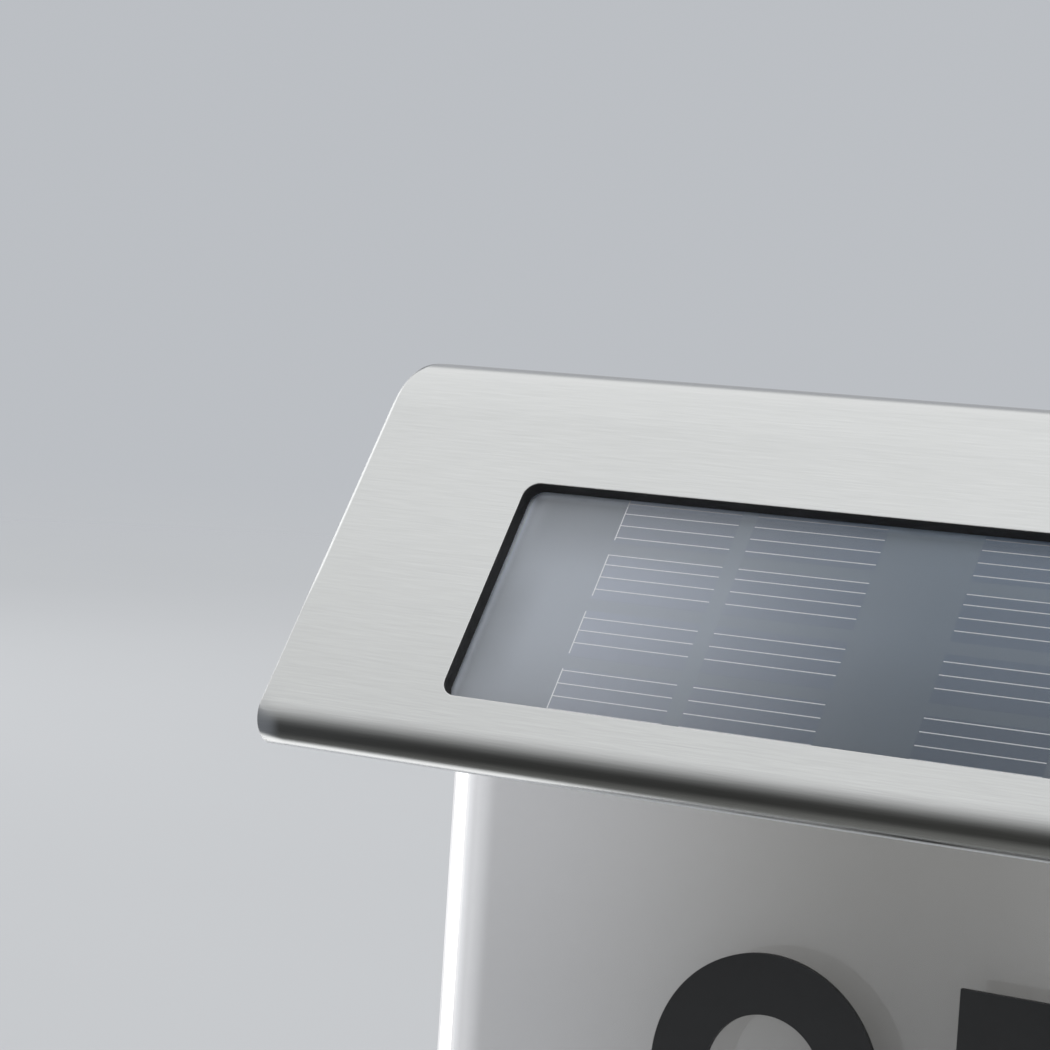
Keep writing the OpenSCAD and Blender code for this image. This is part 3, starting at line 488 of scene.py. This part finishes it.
def cell_ribbon():
    """Tinned ribbon, a little lighter than the cells."""
    f = Finish("cell_ribbon")
    place = f.place()
    x, _, z = f.parts(place)
    along = f.noise(f.stretched(place, 2200, 70, 70), 1.0, 3.0)
    cloud = f.noise(place, 240, 3.0)
    tone = 0.93 + 0.05 * along + 0.08 * cloud
    # the first colour, far paler than the second, is a painted reflection on the panel's left end
    tin = panel_colour_with_painted_light(f, x, z, (0.556, 0.600, 0.658), (0.258, 0.299, 0.350))
    return f.done(
        base_color=f.tint(tin, tone),
        specular_ior_level=0.0,
        roughness=0.36 + 0.12 * cloud,
        normal=f.bump(along * 0.01 * MM),
    )


def silver_print():
    """Printed silver lines."""
    f = Finish("silver_print")
    place = f.place()
    x = f.parts(place)[0]
    grainy = f.noise(place, 1800, 3.0)
    tone = 0.85 + 0.25 * grainy
    # painted reflection: the lines are painted lighter towards the left, as the panel's pale left end
    silver = f.blend(f.ease(x, -74 * MM, 12 * MM), (0.96, 0.97, 0.99), (0.78, 0.80, 0.82))
    return f.done(
        base_color=f.tint(silver, tone),
        metallic=0.2,
        roughness=0.38 + 0.12 * grainy,
        normal=f.bump(grainy * 0.01 * MM),
    )


def panel_backing():
    """Backing board of the panel, seen between the cell columns."""
    f = Finish("panel_backing")
    place = f.place()
    x, _, z = f.parts(place)
    weave = f.noise(f.stretched(place, 900, 900, 900), 1.0, 2.0)
    cloud = f.noise(f.stretched(place, 24, 50, 50), 1.0, 3.0)
    tone = 0.93 + 0.02 * weave + 0.10 * cloud
    # the first colour, far paler than the second, is a painted reflection on the panel's left end
    board = panel_colour_with_painted_light(f, x, z, (0.552, 0.588, 0.642), (0.240, 0.281, 0.330))
    return f.done(
        base_color=f.tint(board, tone),
        specular_ior_level=0.0,
        roughness=0.42 + 0.14 * weave,
        normal=f.bump(weave * 0.003 * MM),
    )


def clear_acrylic():
    """Clear polished plate whose cut edges carry the light out."""
    f = Finish("clear_acrylic")
    place = f.place()
    x, y, z = f.parts(place)
    side = abs(x) > (PLATE_W / 2 - 0.5) * MM
    foot = z < (PLATE_FOOT + 0.5) * MM
    lit = side.largest(foot)
    saw = f.noise(f.stretched(place, 1500, 26, 26), 1.0, 3.0)
    streaks = f.noise(f.stretched(place, 40, 1600, 30), 1.0, 3.0)
    haze = f.noise(place, 45, 4.0)
    middle_line = f.ease(abs(y - SCRIBED_MIDDLE_Y * MM), 0.2 * MM, 0.5 * MM)
    back_line = f.ease(abs(y - SCRIBED_BACK_Y * MM), 0.0, 0.4 * MM, 0.5, 1.0)
    scribed = middle_line * back_line
    glow = f.tint((0.98, 0.985, 1.0), lit * (0.30 + 0.50 * streaks + 0.14 * saw + 0.20 * scribed))
    clear = f.blend(haze, (0.972, 0.980, 0.984), (0.99, 0.993, 0.995))
    return f.done(
        base_color=f.blend(lit, clear, (0.004, 0.004, 0.004)),
        roughness=0.012 + 0.03 * f.ease(haze, 0.5, 0.8) + 0.25 * lit,
        ior=1.49,
        transmission_weight=1.0,
        emission_color=glow,
        emission_strength=1.0,
        normal=f.bump(saw * 0.002 * MM),
    )


def grey_plate():
    """Plate behind the clear one. Light spills on it from the lit edges."""
    f = Finish("grey_plate")
    place = f.place()
    x, y, z = f.parts(place)
    inside = (PLATE_W / 2) * MM - abs(x)
    near = f.ease(inside, 3.2 * MM, 7.0 * MM, 0.42, 0.0) + f.ease(inside, 0.0, 2.2 * MM, 0.55, 0.0)
    wide = f.ease(inside, 8 * MM, 95 * MM, 1.0, 0.0)
    over_foot = f.ease(z - PLATE_FOOT * MM, 0.0, 4 * MM, 1.0, 0.0) ** 2.0
    under_lights = f.ease(z, -95 * MM, -35 * MM)
    front = y < (BACK_PLATE_FRONT + 0.2) * MM
    fine = f.noise(place, 3000, 2.0)
    cloud = f.noise(place, 30, 3.0)
    tone = 0.94 + 0.05 * fine + 0.06 * cloud
    spill = front * (0.40 * near.largest(over_foot) + 0.21 * wide + 0.08 * under_lights + 0.095)
    rounded = f.rounding(0.2 * MM)
    return f.done(
        base_color=f.tint((0.215, 0.213, 0.210), tone),
        roughness=0.48 + 0.12 * fine + 0.08 * cloud,
        emission_color=f.tint(f.blend(wide, (1.0, 0.98, 0.94), (0.965, 0.97, 1.0)), spill),
        emission_strength=1.0,
        normal=f.bump(fine * 0.01 * MM, rounded),
    )


def numeral():
    """Stick-on numerals: satin dark grey."""
    f = Finish("numeral_satin")
    place = f.place()
    peel = f.noise(place, 900, 3.0)
    cloud = f.noise(place, 60, 3.0)
    rounded = f.rounding(0.2 * MM)
    edge = f.edges(rounded)
    tone = 0.88 + 0.10 * peel + 0.14 * cloud
    satin = f.blend(edge * 0.5, f.tint((0.030, 0.031, 0.033), tone), (0.10, 0.10, 0.105))
    return f.done(
        base_color=satin,
        roughness=0.34 + 0.10 * peel + 0.08 * cloud,
        normal=f.bump(peel * 0.012 * MM, rounded),
    )


def green_board():
    """Printed board with tracks under its green lacquer."""
    f = Finish("green_board")
    place = f.place()
    y = f.parts(place)[1]
    tracks = f.cells(place, 210)
    track = f.ease(tracks, 0.30, 0.36) * f.ease(tracks, 0.52, 0.46)
    fine = f.noise(place, 1500, 2.0)
    front = y < (BOARD_MIDDLE_Y - 0.7) * MM
    lacquer = f.tint((0.018, 0.115, 0.045), 0.85 + 0.3 * fine)
    board = f.blend(track * front, lacquer, (0.05, 0.24, 0.10))
    cut = abs(y - BOARD_MIDDLE_Y * MM) < BOARD_HALF_T * MM
    return f.done(
        base_color=f.blend(cut, board, (0.30, 0.27, 0.14)),
        roughness=0.28 + 0.14 * fine + 0.2 * cut,
        normal=f.bump(track * 0.03 * MM + fine * 0.006 * MM, f.rounding(0.1 * MM)),
    )


def white_board():
    """Strip board for the lights, white lacquer with faint pads."""
    f = Finish("white_board")
    place = f.place()
    fine = f.noise(place, 1600, 2.0)
    cloud = f.noise(f.stretched(place, 70, 300, 300), 1.0, 3.0)
    return f.done(
        base_color=f.tint((0.74, 0.75, 0.74), 0.9 + 0.08 * fine + 0.08 * cloud),
        roughness=0.34 + 0.12 * cloud,
        normal=f.bump(fine * 0.008 * MM, f.rounding(0.1 * MM)),
    )


def light_chip():
    """Lights: a yellow face in a white frame, glowing."""
    f = Finish("light_chip")
    place = f.place()
    z = f.parts(place)[2]
    fine = f.noise(place, 2600, 2.0)
    face = z < CHIP_FACE_Z * MM
    return f.done(
        base_color=f.blend(face, (0.8, 0.8, 0.78), (0.85, 0.72, 0.25)),
        roughness=0.3 + 0.2 * fine,
        emission_color=f.tint((1.0, 0.97, 0.90), face * (0.8 + 0.4 * fine)),
        emission_strength=1.0,
        normal=f.bump(fine * 0.01 * MM, f.rounding(0.1 * MM)),
    )


def small_part(name, colour, rough, speckle):
    """Small electric parts, with speckle and a little unevenness."""
    f = Finish(name)
    place = f.place()
    fine = f.noise(place, speckle, 3.0)
    cloud = f.noise(place, 260, 3.0)
    rounded = f.rounding(0.15 * MM)
    edge = f.edges(rounded)
    tone = 0.84 + 0.18 * fine + 0.14 * cloud
    lighter = tuple(min(1.0, c * 1.6 + 0.03) for c in colour)
    return f.done(
        base_color=f.blend(edge * 0.5, f.tint(colour, tone), lighter),
        roughness=rough + 0.1 * fine + 0.08 * cloud,
        normal=f.bump(fine * 0.012 * MM, rounded),
    )


def capacitor_can():
    """Sleeved can with a bare end."""
    f = Finish("capacitor_can")
    place = f.place()
    x, y, _ = f.parts(place)
    fine = f.noise(place, 2000, 2.0)
    bare = y < CAN_END_Y * MM
    stripe = (x < CAN_STRIPE_X * MM) * (1 - bare)
    sleeve = f.blend(stripe, (0.02, 0.024, 0.035), (0.42, 0.44, 0.46))
    return f.done(
        base_color=f.tint(f.blend(bare, sleeve, (0.70, 0.71, 0.72)), 0.88 + 0.2 * fine),
        metallic=bare,
        roughness=0.26 + 0.12 * fine,
        normal=f.bump(fine * 0.006 * MM, f.rounding(0.3 * MM)),
    )


def battery_sleeve():
    """Rechargeable cells: green sleeve, silver band, bare steel ends."""
    f = Finish("battery_sleeve")
    place = f.place()
    x, y, z = f.parts(place)
    along = ((x - BATTERY_START_X * MM) / (BATTERY_LEN * MM)).fraction()
    fine = f.noise(place, 1800, 2.0)
    film = f.noise(f.stretched(place, 60, 400, 400), 1.0, 3.0)
    band = f.ease(along, 0.70, 0.705) * f.ease(along, 0.93, 0.925)
    out_y = y - BATTERY_AXIS_Y * MM
    out_z = z - BATTERY_AXIS_Z * MM
    radius = (out_y * out_y + out_z * out_z) ** 0.5
    cap = radius < BATTERY_BARE_R * MM
    bare = cap.largest(f.ease(along, 0.985, 0.99)).largest(f.ease(along, 0.015, 0.01))
    sleeve = f.blend(band, (0.02, 0.16, 0.075), (0.62, 0.63, 0.64))
    return f.done(
        base_color=f.tint(f.blend(bare, sleeve, (0.62, 0.63, 0.64)), 0.88 + 0.08 * fine + 0.12 * film),
        metallic=bare.largest(band * 0.6),
        roughness=0.24 + 0.14 * film,
        normal=f.bump(film * 0.02 * MM, f.rounding(0.3 * MM)),
    )


def wire_cover(name, colour):
    """Soft wire insulation."""
    f = Finish(name)
    place = f.place()
    fine = f.noise(place, 1500, 2.0)
    cloud = f.noise(place, 180, 2.0)
    return f.done(
        base_color=f.tint(colour, 0.82 + 0.16 * fine + 0.2 * cloud),
        roughness=0.36 + 0.14 * fine,
        normal=f.bump(fine * 0.012 * MM),
    )


def on_slope(x, up, out):
    """A point of the roof in metres, from mm along, up and out of it at the window's top left corner."""
    return (WINDOW_CORNER + Vector((x, 0, 0)) + up * UP_SLOPE + out * OUTWARD) * MM


def add_piece(name, shape, finish, body):
    """A new piece from a finished shape."""
    bmesh.ops.recalc_face_normals(shape, faces=shape.faces)
    mesh = bpy.data.meshes.new(name)
    shape.to_mesh(mesh)
    shape.free()
    for face in mesh.polygons:
        face.use_smooth = True
    mesh.set_sharp_from_angle(angle=SHARP_OVER)
    piece = bpy.data.objects.new(name, mesh)
    bpy.context.scene.collection.objects.link(piece)
    mesh.materials.append(finish)
    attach(piece, body)
    return piece


def join_rings(shape, rings, closed):
    """Faces between one ring of points and the next. Closed also joins the last ring to the first."""
    pairs = list(zip(rings, rings[1:]))
    if closed:
        pairs.append((rings[-1], rings[0]))
    for one, other in pairs:
        for i in range(len(one)):
            j = (i + 1) % len(one)
            shape.faces.new((one[i], one[j], other[j], other[i]))


def add_line(shape, start, end, width, rise):
    """A low rounded printed line between two points of the cells' face."""
    across = (end - start).normalized().cross(OUTWARD)
    profile = ((-0.5, 0), (-0.42, 0.62), (-0.2, 1), (0.2, 1), (0.42, 0.62), (0.5, 0))
    rings = [
        [
            shape.verts.new(at + across * width * side * MM + OUTWARD * rise * height * MM)
            for side, height in profile
        ]
        for at in (start, end)
    ]
    join_rings(shape, rings, False)
    shape.faces.new(rings[0])
    shape.faces.new(rings[1])


def rounded_loop(low_x, high_x, low_y, high_y, radius, steps=10):
    """Points of a rounded rectangle, anticlockwise."""
    centres = (
        (high_x - radius, high_y - radius, 0),
        (low_x + radius, high_y - radius, 90),
        (low_x + radius, low_y + radius, 180),
        (high_x - radius, low_y + radius, 270),
    )
    points = []
    for cx, cy, turn in centres:
        for i in range(steps + 1):
            angle = math.radians(turn + 90 * i / steps)
            points.append((cx + radius * math.cos(angle), cy + radius * math.sin(angle)))
    return points


def window_ring(shape, inset, out):
    """One ring of points round the window, set in from its edge by inset and out by out."""
    loop = rounded_loop(inset, WINDOW_W - inset, inset - WINDOW_H, -inset, max(WINDOW_R - inset, 0.2))
    return [shape.verts.new(on_slope(x, up, out)) for x, up in loop]


def make_cell_lines(finish):
    """Finger lines on the cell strips, and end lines at the left of the first column."""
    fingers = bmesh.new()
    ends = bmesh.new()
    for column in COLUMN_STARTS:
        for low, high in (HALF_A, HALF_B):
            for row in FINGER_ROWS:
                start = on_slope(column + low, row, CELL_FACE)
                end = on_slope(column + high, row, CELL_FACE)
                add_line(fingers, start, end, FINGER_W, FINGER_RISE)
    x = COLUMN_STARTS[0] + HALF_A[0] + BUS_W / 2
    for top, foot in BUS_SPANS:
        add_line(ends, on_slope(x, top, CELL_FACE), on_slope(x, foot, CELL_FACE), BUS_W, BUS_RISE)
    add_piece("cell_finger_lines", fingers, finish, "lamp")
    add_piece("cell_end_lines", ends, finish, "lamp")


def make_window_liner(finish):
    """Black liner on the cut edge of the window."""
    shape = bmesh.new()
    join_rings(shape, [window_ring(shape, inset, out) for inset, out in LINER_SECTION], True)
    add_piece("window_liner", shape, finish, "lamp")


def panel_slab(section):
    """A flat sheet with the panel's outline, from pairs of its reach past the window and its height."""
    shape = bmesh.new()
    rings = [
        [
            shape.verts.new(on_slope(x, up, out))
            for x, up in rounded_loop(-reach, WINDOW_W + reach, -WINDOW_H - reach, reach, WINDOW_R + reach)
        ]
        for reach, out in section
    ]
    join_rings(shape, rings, False)
    shape.faces.new(rings[0])
    shape.faces.new(rings[-1])
    return shape


def make_panel_sheets(glass_finish, film_finish):
    """Cover glass with ground edges, a hair thinner than its solid, and the film between the cells."""
    flat = SHEET_REACH - SHEET_EDGE
    glass = panel_slab(
        (
            (flat, GLASS_LOW), (SHEET_REACH, GLASS_LOW + SHEET_EDGE),
            (SHEET_REACH, GLASS_TOP - SHEET_EDGE), (flat, GLASS_TOP),
        )
    )
    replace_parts(add_piece("cover_glass", glass, glass_finish, "lamp"), "panel_glass")
    film = panel_slab(((flat, FILM_TOP - FILM_T), (flat, FILM_TOP - 0.02), (flat - 0.02, FILM_TOP)))
    add_piece("laminate_film", film, film_finish, "lamp")


def plate_loops(inset):
    """Outline and screw holes of the clear plate in x and z, set in from their edges into the plate."""
    half = PLATE_W / 2 - inset
    loops = [rounded_loop(-half, half, PLATE_FOOT + inset, PLATE_TOP - inset, PLATE_R - inset, CORNER_STEPS)]
    for side in (-1, 1):
        radius = PLATE_HOLE_R + inset
        turns = [math.tau * i / HOLE_STEPS for i in range(HOLE_STEPS)]
        loops.append(
            [
                (side * PLATE_SCREW_X + radius * math.cos(turn), PLATE_SCREW_Z + radius * math.sin(turn))
                for turn in turns
            ]
        )
    return loops


def make_clear_plate(finish):
    """Clear plate with two screw holes. Its rings run over the polished edges from back to front."""
    shape = bmesh.new()
    levels = []
    normals = []
    # Where the middle of an edge's round lies in y, and each ring's turn in degrees, from back to front
    bends = [(PLATE_BACK - PLATE_EDGE_R, turn) for turn in (0, 30, 60, 90)]
    bends += [(PLATE_FRONT + PLATE_EDGE_R, turn) for turn in (90, 120, 150, 180)]
    for middle, turn in bends:
        sideways = math.sin(math.radians(turn))
        backwards = math.cos(math.radians(turn))
        inset = PLATE_EDGE_R * (1 - sideways)
        y = (middle + PLATE_EDGE_R * backwards) * MM
        rings = []
        for loop, inner in zip(plate_loops(inset), plate_loops(inset + 1)):
            rings.append([shape.verts.new((x * MM, y, z * MM)) for x, z in loop])
            for (x, z), (inner_x, inner_z) in zip(loop, inner):
                normals.append((sideways * (x - inner_x), backwards, sideways * (z - inner_z)))
        levels.append(rings)
    for rings in zip(*levels):
        join_rings(shape, rings, False)
    # Back and front are each made of an upper and a lower half, which meet on lines through the two holes
    corners = 2 * (CORNER_STEPS + 1)
    half = HOLE_STEPS // 2
    for outline, left, right in (levels[0], levels[-1]):
        upper = outline[:corners]
        lower = outline[corners - 1:] + outline[:1]
        for hole in (left, right):
            upper += hole[half::-1]
        for hole in (right, left):
            lower += hole[:1] + hole[:half - 1:-1]
        shape.faces.new(upper)
        shape.faces.new(lower)
    plate = add_piece("clear_plate", shape, finish, "lamp")
    plate.data.normals_split_custom_set_from_vertices(normals)
    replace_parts(plate, "number_plate")


def dress_nodes():
    """Finishes for the nodes that keep their own shape."""
    hood = brushed_steel("hood_brushed_steel", (100, 4600, 4600), 1.0)
    cheek = brushed_steel("cheek_brushed_steel", (4000, 85, 4000), 1.7)
    rubber = black_rubber()
    backing = panel_backing()
    plastic = moulded_plastic("black_plastic", (0.019, 0.019, 0.020), (0.052, 0.052, 0.054))
    screw = machined_steel("screw_steel", (0.60, 0.60, 0.60), (900, 900, 900))
    spring = machined_steel("spring_steel", (0.66, 0.65, 0.62), (80, 2400, 2400))
    sleeve = battery_sleeve()
    figure = numeral()
    finishes = {
        "wall_bracket": bracket_steel(),
        "hood": hood,
        "left_cheek": cheek,
        "right_cheek": cheek,
        "window_gasket": rubber,
        "housing_seal": rubber,
        "wall_bumpers": rubber,
        "door_seal": rubber,
        "solar_cells": solar_cell(),
        "cell_ribbons": cell_ribbon(),
        "panel_backing": backing,
        "panel_tray": plastic,
        "base_housing": plastic,
        "switch_body": plastic,
        "battery_door": plastic,
        "control_board": green_board(),
        "control_chip": small_part("black_chip", (0.02, 0.02, 0.022), 0.45, 3200),
        "charge_coil": small_part("coil_core", (0.06, 0.058, 0.056), 0.5, 2600),
        "smoothing_capacitor": capacitor_can(),
        "led_board": white_board(),
        "led_chips": light_chip(),
        "switch_slider": moulded_plastic("grey_plastic", (0.30, 0.305, 0.31), (0.46, 0.465, 0.47)),
        "positive_contact": spring,
        "spring_contact": spring,
        "battery_left": sleeve,
        "battery_right": sleeve,
        "panel_wire": wire_cover("red_wire", (0.50, 0.025, 0.02)),
        "battery_wires": wire_cover("black_wire", (0.02, 0.02, 0.022)),
        "led_wire": wire_cover("white_wire", (0.70, 0.70, 0.68)),
        "switch_wire": wire_cover("blue_wire", (0.03, 0.09, 0.42)),
        "back_plate": grey_plate(),
        "tens_numeral": figure,
        "units_numeral": figure,
        "plate_screws": screw,
        "hood_screws": screw,
        "housing_screws": screw,
        "door_screw": screw,
    }
    for name, finish in finishes.items():
        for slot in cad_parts[name].material_slots:
            slot.material = finish
    return rubber, backing


def add_camera():
    """The photograph's viewing angle."""
    camera = bpy.data.cameras.new("camera")
    camera.sensor_width = CAMERA_SENSOR
    camera.lens = CAMERA_LENS
    camera.clip_start = 0.01
    camera.clip_end = 30
    seat = bpy.data.objects.new("camera", camera)
    bpy.context.scene.collection.objects.link(seat)
    turn = Matrix((CAMERA_RIGHT, CAMERA_UP, CAMERA_BACK)).transposed().to_4x4()
    seat.matrix_world = Matrix.Translation(CAMERA_PLACE * MM) @ turn
    bpy.context.scene.camera = seat


def add_floor():
    """Plain pale floor, which fades into the backdrop far off and lets the camera look up from below."""
    shape = bmesh.new()
    bmesh.ops.create_grid(shape, x_segments=8, y_segments=8, size=FLOOR_HALF)
    mesh = bpy.data.meshes.new("floor")
    shape.to_mesh(mesh)
    shape.free()
    floor = bpy.data.objects.new("floor", mesh)
    floor.location.z = (PLATE_FOOT - 0.4) * MM
    bpy.context.scene.collection.objects.link(floor)
    f = Finish("floor")
    place = f.place()
    cloud = f.noise(place, 3.0, 2.0)
    pale = f.add("ShaderNodeBsdfDiffuse", {}, {"Color": f.tint(FLOOR_COLOUR, 0.98 + 0.04 * cloud)})
    x, y, _ = f.parts(place)
    far = f.ease((x * x + y * y) ** 0.5, *FLOOR_FADE) * f.seen()
    underside = f.add("ShaderNodeNewGeometry", out="Backfacing")
    through = f.add("ShaderNodeBsdfTransparent")
    both = f.add("ShaderNodeMixShader", {}, {0: underside.largest(far), 1: pale, 2: through})
    f.add("ShaderNodeOutputMaterial", {}, {"Surface": both})
    mesh.materials.append(f.material)
    floor.visible_glossy = False


def add_lamp(name, place, size, strength):
    """A soft square lamp that faces the part. Strength is how bright its face is, where 1 is white."""
    lamp = bpy.data.lights.new(name, "AREA")
    lamp.shape = "SQUARE"
    lamp.size = size
    lamp.energy = strength * math.pi * size * size
    seat = bpy.data.objects.new(name, lamp)
    bpy.context.scene.collection.objects.link(seat)
    seat.location = place
    seat.rotation_mode = "QUATERNION"
    seat.rotation_quaternion = (LAMP_TARGET - Vector(place)).to_track_quat("-Z", "Y")
    seat.visible_camera = False
    seat.visible_glossy = False


def add_surroundings():
    """Soft even light from above, pale surroundings behind and a dark room low in front."""
    world = bpy.data.worlds.new("studio")
    world.use_nodes = True
    bpy.context.scene.world = world
    n = Nodes(world.node_tree)
    x, y, z = n.parts(n.add("ShaderNodeTexCoord", out="Generated"))
    dark = n.blend(n.ease(x, -0.46, -0.32), (0.045, 0.045, 0.043), (0.070, 0.070, 0.066))
    room = n.blend(n.ease(z, -0.69, -1.0), dark, (0.235, 0.235, 0.225))
    low = n.blend(n.ease(x, -0.56, -0.78), room, (0.20, 0.21, 0.23))
    in_front = n.blend(n.ease(z, -0.55, 1.0) ** 1.25, low, (1.06, 1.06, 1.06))
    wall = n.blend(n.ease(x, -0.62, -0.76), (0.42, 0.43, 0.45), (1.2, 1.2, 1.2))
    to_left = n.ease(x, -0.45, -0.52)
    under = n.blend(to_left, (0.55, 0.55, 0.55), (1.4, 1.4, 1.4))
    foot = n.blend(n.ease(z, -0.02, -0.12), wall, under)
    behind = n.blend(n.ease(z, 0.38, 0.47), foot, (1.02, 1.02, 1.02))
    turn = n.ease(y + 0.10 * to_left, 0.46, 0.10)
    lit = n.blend(turn, behind, in_front)
    beside = n.ease(x, -0.72, -0.86) * n.ease(z, 0.10, 0.28)
    lit = n.blend(beside, lit, (1.6, 1.6, 1.6))
    colour = n.blend(n.seen(), lit, BACKDROP_COLOUR)
    sky = n.add("ShaderNodeBackground", {}, {"Color": colour, "Strength": 1.0})
    n.add("ShaderNodeOutputWorld", {}, {"Surface": sky})


rubber, backing = dress_nodes()
make_cell_lines(silver_print())
make_window_liner(rubber)
make_panel_sheets(panel_glass(), backing)
make_clear_plate(clear_acrylic())

add_camera()
add_floor()
add_surroundings()
add_lamp("key", (0.75, -0.75, 1.0), 1.3, 0.35)
add_lamp("rim", (-1.3, 0.5, 0.45), 0.8, 0.8)
bpy.context.scene.view_settings.view_transform = "Standard"
